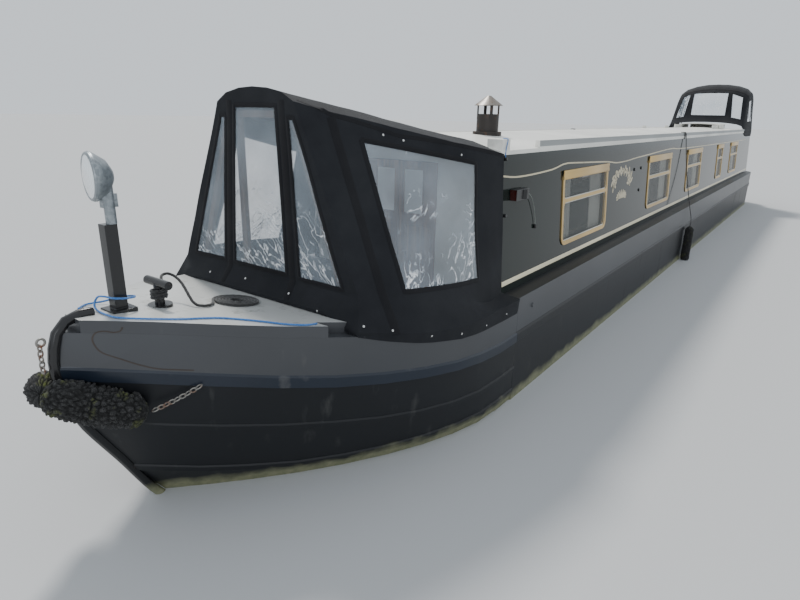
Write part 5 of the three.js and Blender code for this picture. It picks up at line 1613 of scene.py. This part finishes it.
# Small fittings on the cabin side: three black vent buttons between the first two windows, two black turn
# knobs that hold the cover's rear edge, and a twist of thin blue line at the cover's top corner.
VENTS = [(2.607, 1.950), (2.333, 1.951), (2.367, 1.708)]
KNOBS = [(5.768, 2.205), (5.772, 1.832)]
VENT_SIZE, KNOB_SIZE, SUNK = (0.017, 0.012), (0.012, 0.022), 0.002
for side, name in SIDES:
    studs = []
    for x, z, radius, depth in [(*v, *VENT_SIZE) for v in VENTS] + [(*k, *KNOB_SIZE) for k in KNOBS]:
        bpy.ops.mesh.primitive_cylinder_add(
            vertices=20,
            radius=radius,
            depth=depth,
            location=side_at(x, z, side, depth / 2 - SUNK),
            rotation=(math.pi / 2 + side * math.atan(SIDE_LEAN), 0, 0),
        )
        stud = bpy.context.object
        modified(stud, "BEVEL", width=0.004, segments=3)
        bpy.ops.object.transform_apply(location=True, rotation=True, scale=True)
        studs.append(stud)
    completed(joined(studs), f"side_fittings_{name}", "lamp_plastic", lamp_black, 50)

LASHING = [(5.690, 0.772, 2.3335), (5.708, 0.795, 2.3335), (5.722, 0.816, 2.3335), (5.732, 0.8295, 2.328)]
LASHING += [(5.740, 0.8298, 2.300), (5.752, 0.830, 2.265), (5.760, 0.833, 2.240), (5.768, 0.8375, 2.212)]
LASHING_RADIUS = 0.003
route = smooth_route([Vector(place) for place in LASHING], 0.004)
lashing = laid_rope("corner_lashing", route, LASHING_RADIUS, sides=9)
fitted(lashing, "blue_rope", blue_rope)

# The pram hood: the same black canvas over the cockpit at the stern, stretched on two bent steel hoops,
# with clear windows in its sloping front and its sides, and bindings over the hoops.
# x, foot's half width and height, shoulder's half width and height, and the crown, from the front aft.
HOOD = [
    (-6.345, 0.842, 2.212, 0.780, 2.338, 2.458),
    (-6.470, 0.843, 2.180, 0.775, 2.490, 2.620),
    (-6.790, 0.845, 2.150, 0.762, 2.940, 3.170),
    (-7.200, 0.845, 2.150, 0.772, 3.030, 3.335),
    (-7.640, 0.845, 2.150, 0.762, 2.990, 3.280),
]
HOOD_ARCH = [(1, 0), (0.97, 0.34), (0.84, 0.64), (0.6, 0.85), (0.3, 0.97), (0, 1)]
HOOD_COUNTS, HOOD_STEP, SKIRT_TOP, SKIRT_IN, SAG = (5, 22, 10, 9, 9, 9, 9), 0.024, 2.254, 0.001, 0.005


def hood_half(x, foot, foot_z, shoulder, shoulder_z, crown):
    arch = [Vector((x, w * shoulder, shoulder_z + h * (crown - shoulder_z))) for w, h in HOOD_ARCH]
    return [Vector((x, foot - SKIRT_IN, foot_z)), Vector((x, foot - SKIRT_IN, SKIRT_TOP)), *arch]


def slackened(at, normal, inward=0.0):
    """The hood's cloth, sagging unevenly between its hoops."""
    free = min(1, max(0, (at.z - 2.35) / 0.25))
    wave = noise.noise(at * 2.8) * 0.6 + noise.noise(Vector((at.x * 9, at.y * 7, at.z * 3))) * 0.4
    return at + normal * ((SAG * wave - SAG) * free - inward)


HOOD_FRONT = [
    [(-0.427, 3.119), (0.325, 3.125), (0.368, 2.60), (-0.379, 2.60)],
    [(0.396, 3.105), (0.641, 3.02), (0.705, 2.52), (0.489, 2.56)],
    [(-0.488, 3.10), (-0.641, 3.02), (-0.705, 2.52), (-0.51, 2.56)],
]
HOOD_SIDE = [(-6.80, 2.93), (-7.146, 2.98), (-7.348, 2.48), (-6.727, 2.47)]
HOOD_SPANS = ((-6.87, -6.3), (0.6, 0.95))
hood_rows = lofted_cloth([hood_half(*station) for station in HOOD[::-1]], HOOD_COUNTS, HOOD_STEP)
whole_hood = cloth_mesh("whole_hood", hood_rows)
moved(whole_hood, slackened)
modified(whole_hood, "SOLIDIFY", thickness=CLOTH)
hood = bpy.data.objects.new("pram_hood_canvas", whole_hood.data.copy())
bpy.context.collection.objects.link(hood)
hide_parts("pram_hood")
cut_cloth(hood, window_prisms(HOOD_FRONT, HOOD_SIDE, *HOOD_SPANS, 0), "DIFFERENCE", canvas, 35)

hood_film = cloth_mesh("pram_hood_film", hood_rows)
moved(hood_film, lambda at, normal: slackened(at, normal, 0.0045))
modified(hood_film, "SOLIDIFY", thickness=FILM)
cut_cloth(hood_film, window_prisms(HOOD_FRONT, HOOD_SIDE, *HOOD_SPANS, FILM_LAP), "INTERSECT", film)

# Bindings round the windows, and over the front and rear hoops as short lengths seen from the middle.
HOOP_ANGLES, HOOP_HALF, HOOP_FOOT, HOOP_RISE = (0.02, 0.3, 0.6, 0.9, 1.2, 1.57), 0.86, 2.55, 0.9
hood_rims = [rim(window, "x", -6.6, 0.024, (0.8, 0, 0)) for window in HOOD_FRONT]
hood_rims += [rim(HOOD_SIDE, "y", 0, 0.024, (0, side * 1.5, 0)) for side, _ in SIDES]
for x in (-6.83, -7.60):
    arch = [Vector((x, HOOP_HALF * math.cos(a), HOOP_FOOT + HOOP_RISE * math.sin(a))) for a in HOOP_ANGLES]
    arch += [Vector((x, -p.y, p.z)) for p in reversed(arch[:-1])]
    for a, b in zip(arch, arch[1:]):
        middle = (a + b) / 2
        hood_rims.append(([a, b], 0.05, (0, middle.y, middle.z - 2.4)))
hood_tape = tapes("pram_hood_bindings", whole_hood, hood_rims)
bpy.data.objects.remove(whole_hood)

polished = coated(
    "steel_tube",
    (0.55, 0.56, 0.57),
    (0.3, 0.3, 0.29),
    amount=0.25, scale=30.0, streaks=0.2, gloss=0.2, dull=0.45, relief=0.0001,
    also={"Metallic": 0.95},
)
for node in ("pram_hoop_front", "pram_hoop_rear"):
    dressed(node, node + "_tube", "tube_steel", polished, edge=0.0015, angle=50, smooth=50)

# The stern gear: a plate rudder on its stock with a swan-necked brass tiller, and a three-bladed bronze
# propeller on the shaft of the small diesel engine, which stands under a lifting board.
bronze = coated(
    "propeller_bronze",
    (0.42, 0.26, 0.11),
    (0.12, 0.16, 0.11),
    amount=0.45, scale=18.0, streaks=0.1, gloss=0.3, dull=0.6, relief=0.0006,
    also={"Metallic": 0.85},
)
brass = coated(
    "polished_brass",
    (0.72, 0.52, 0.22),
    (0.36, 0.25, 0.11),
    amount=0.35, scale=20.0, streaks=0.2, gloss=0.14, dull=0.35, relief=0.0002,
    also={"Metallic": 0.95},
)
engine_paint = coated(
    "engine_paint",
    (0.018, 0.075, 0.12),
    (0.04, 0.035, 0.03),
    amount=0.4, scale=14.0, streaks=0.4, gloss=0.32, dull=0.6, relief=0.0005,
)
# Each piece's CAD node, body, slot, finish and rounding of its edges.
GEAR = [
    ("rudder", "steering", "bitumen", bitumen, 0.003),
    ("tiller", "steering", "brass", brass, 0.002),
    ("propeller", "propeller", "bronze", bronze, 0.0015),
    ("engine", "boat", "engine_paint", engine_paint, 0.004),
]
for node, body, slot, finish, edge in GEAR:
    dressed(node, node + "_made", slot, finish, body=body, edge=edge, angle=40, smooth=40)

# The sizes of the CAD part and of the finished boat, for comparison.
sizes = {"cad": cad_box, "visual": [list(corner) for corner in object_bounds()]}
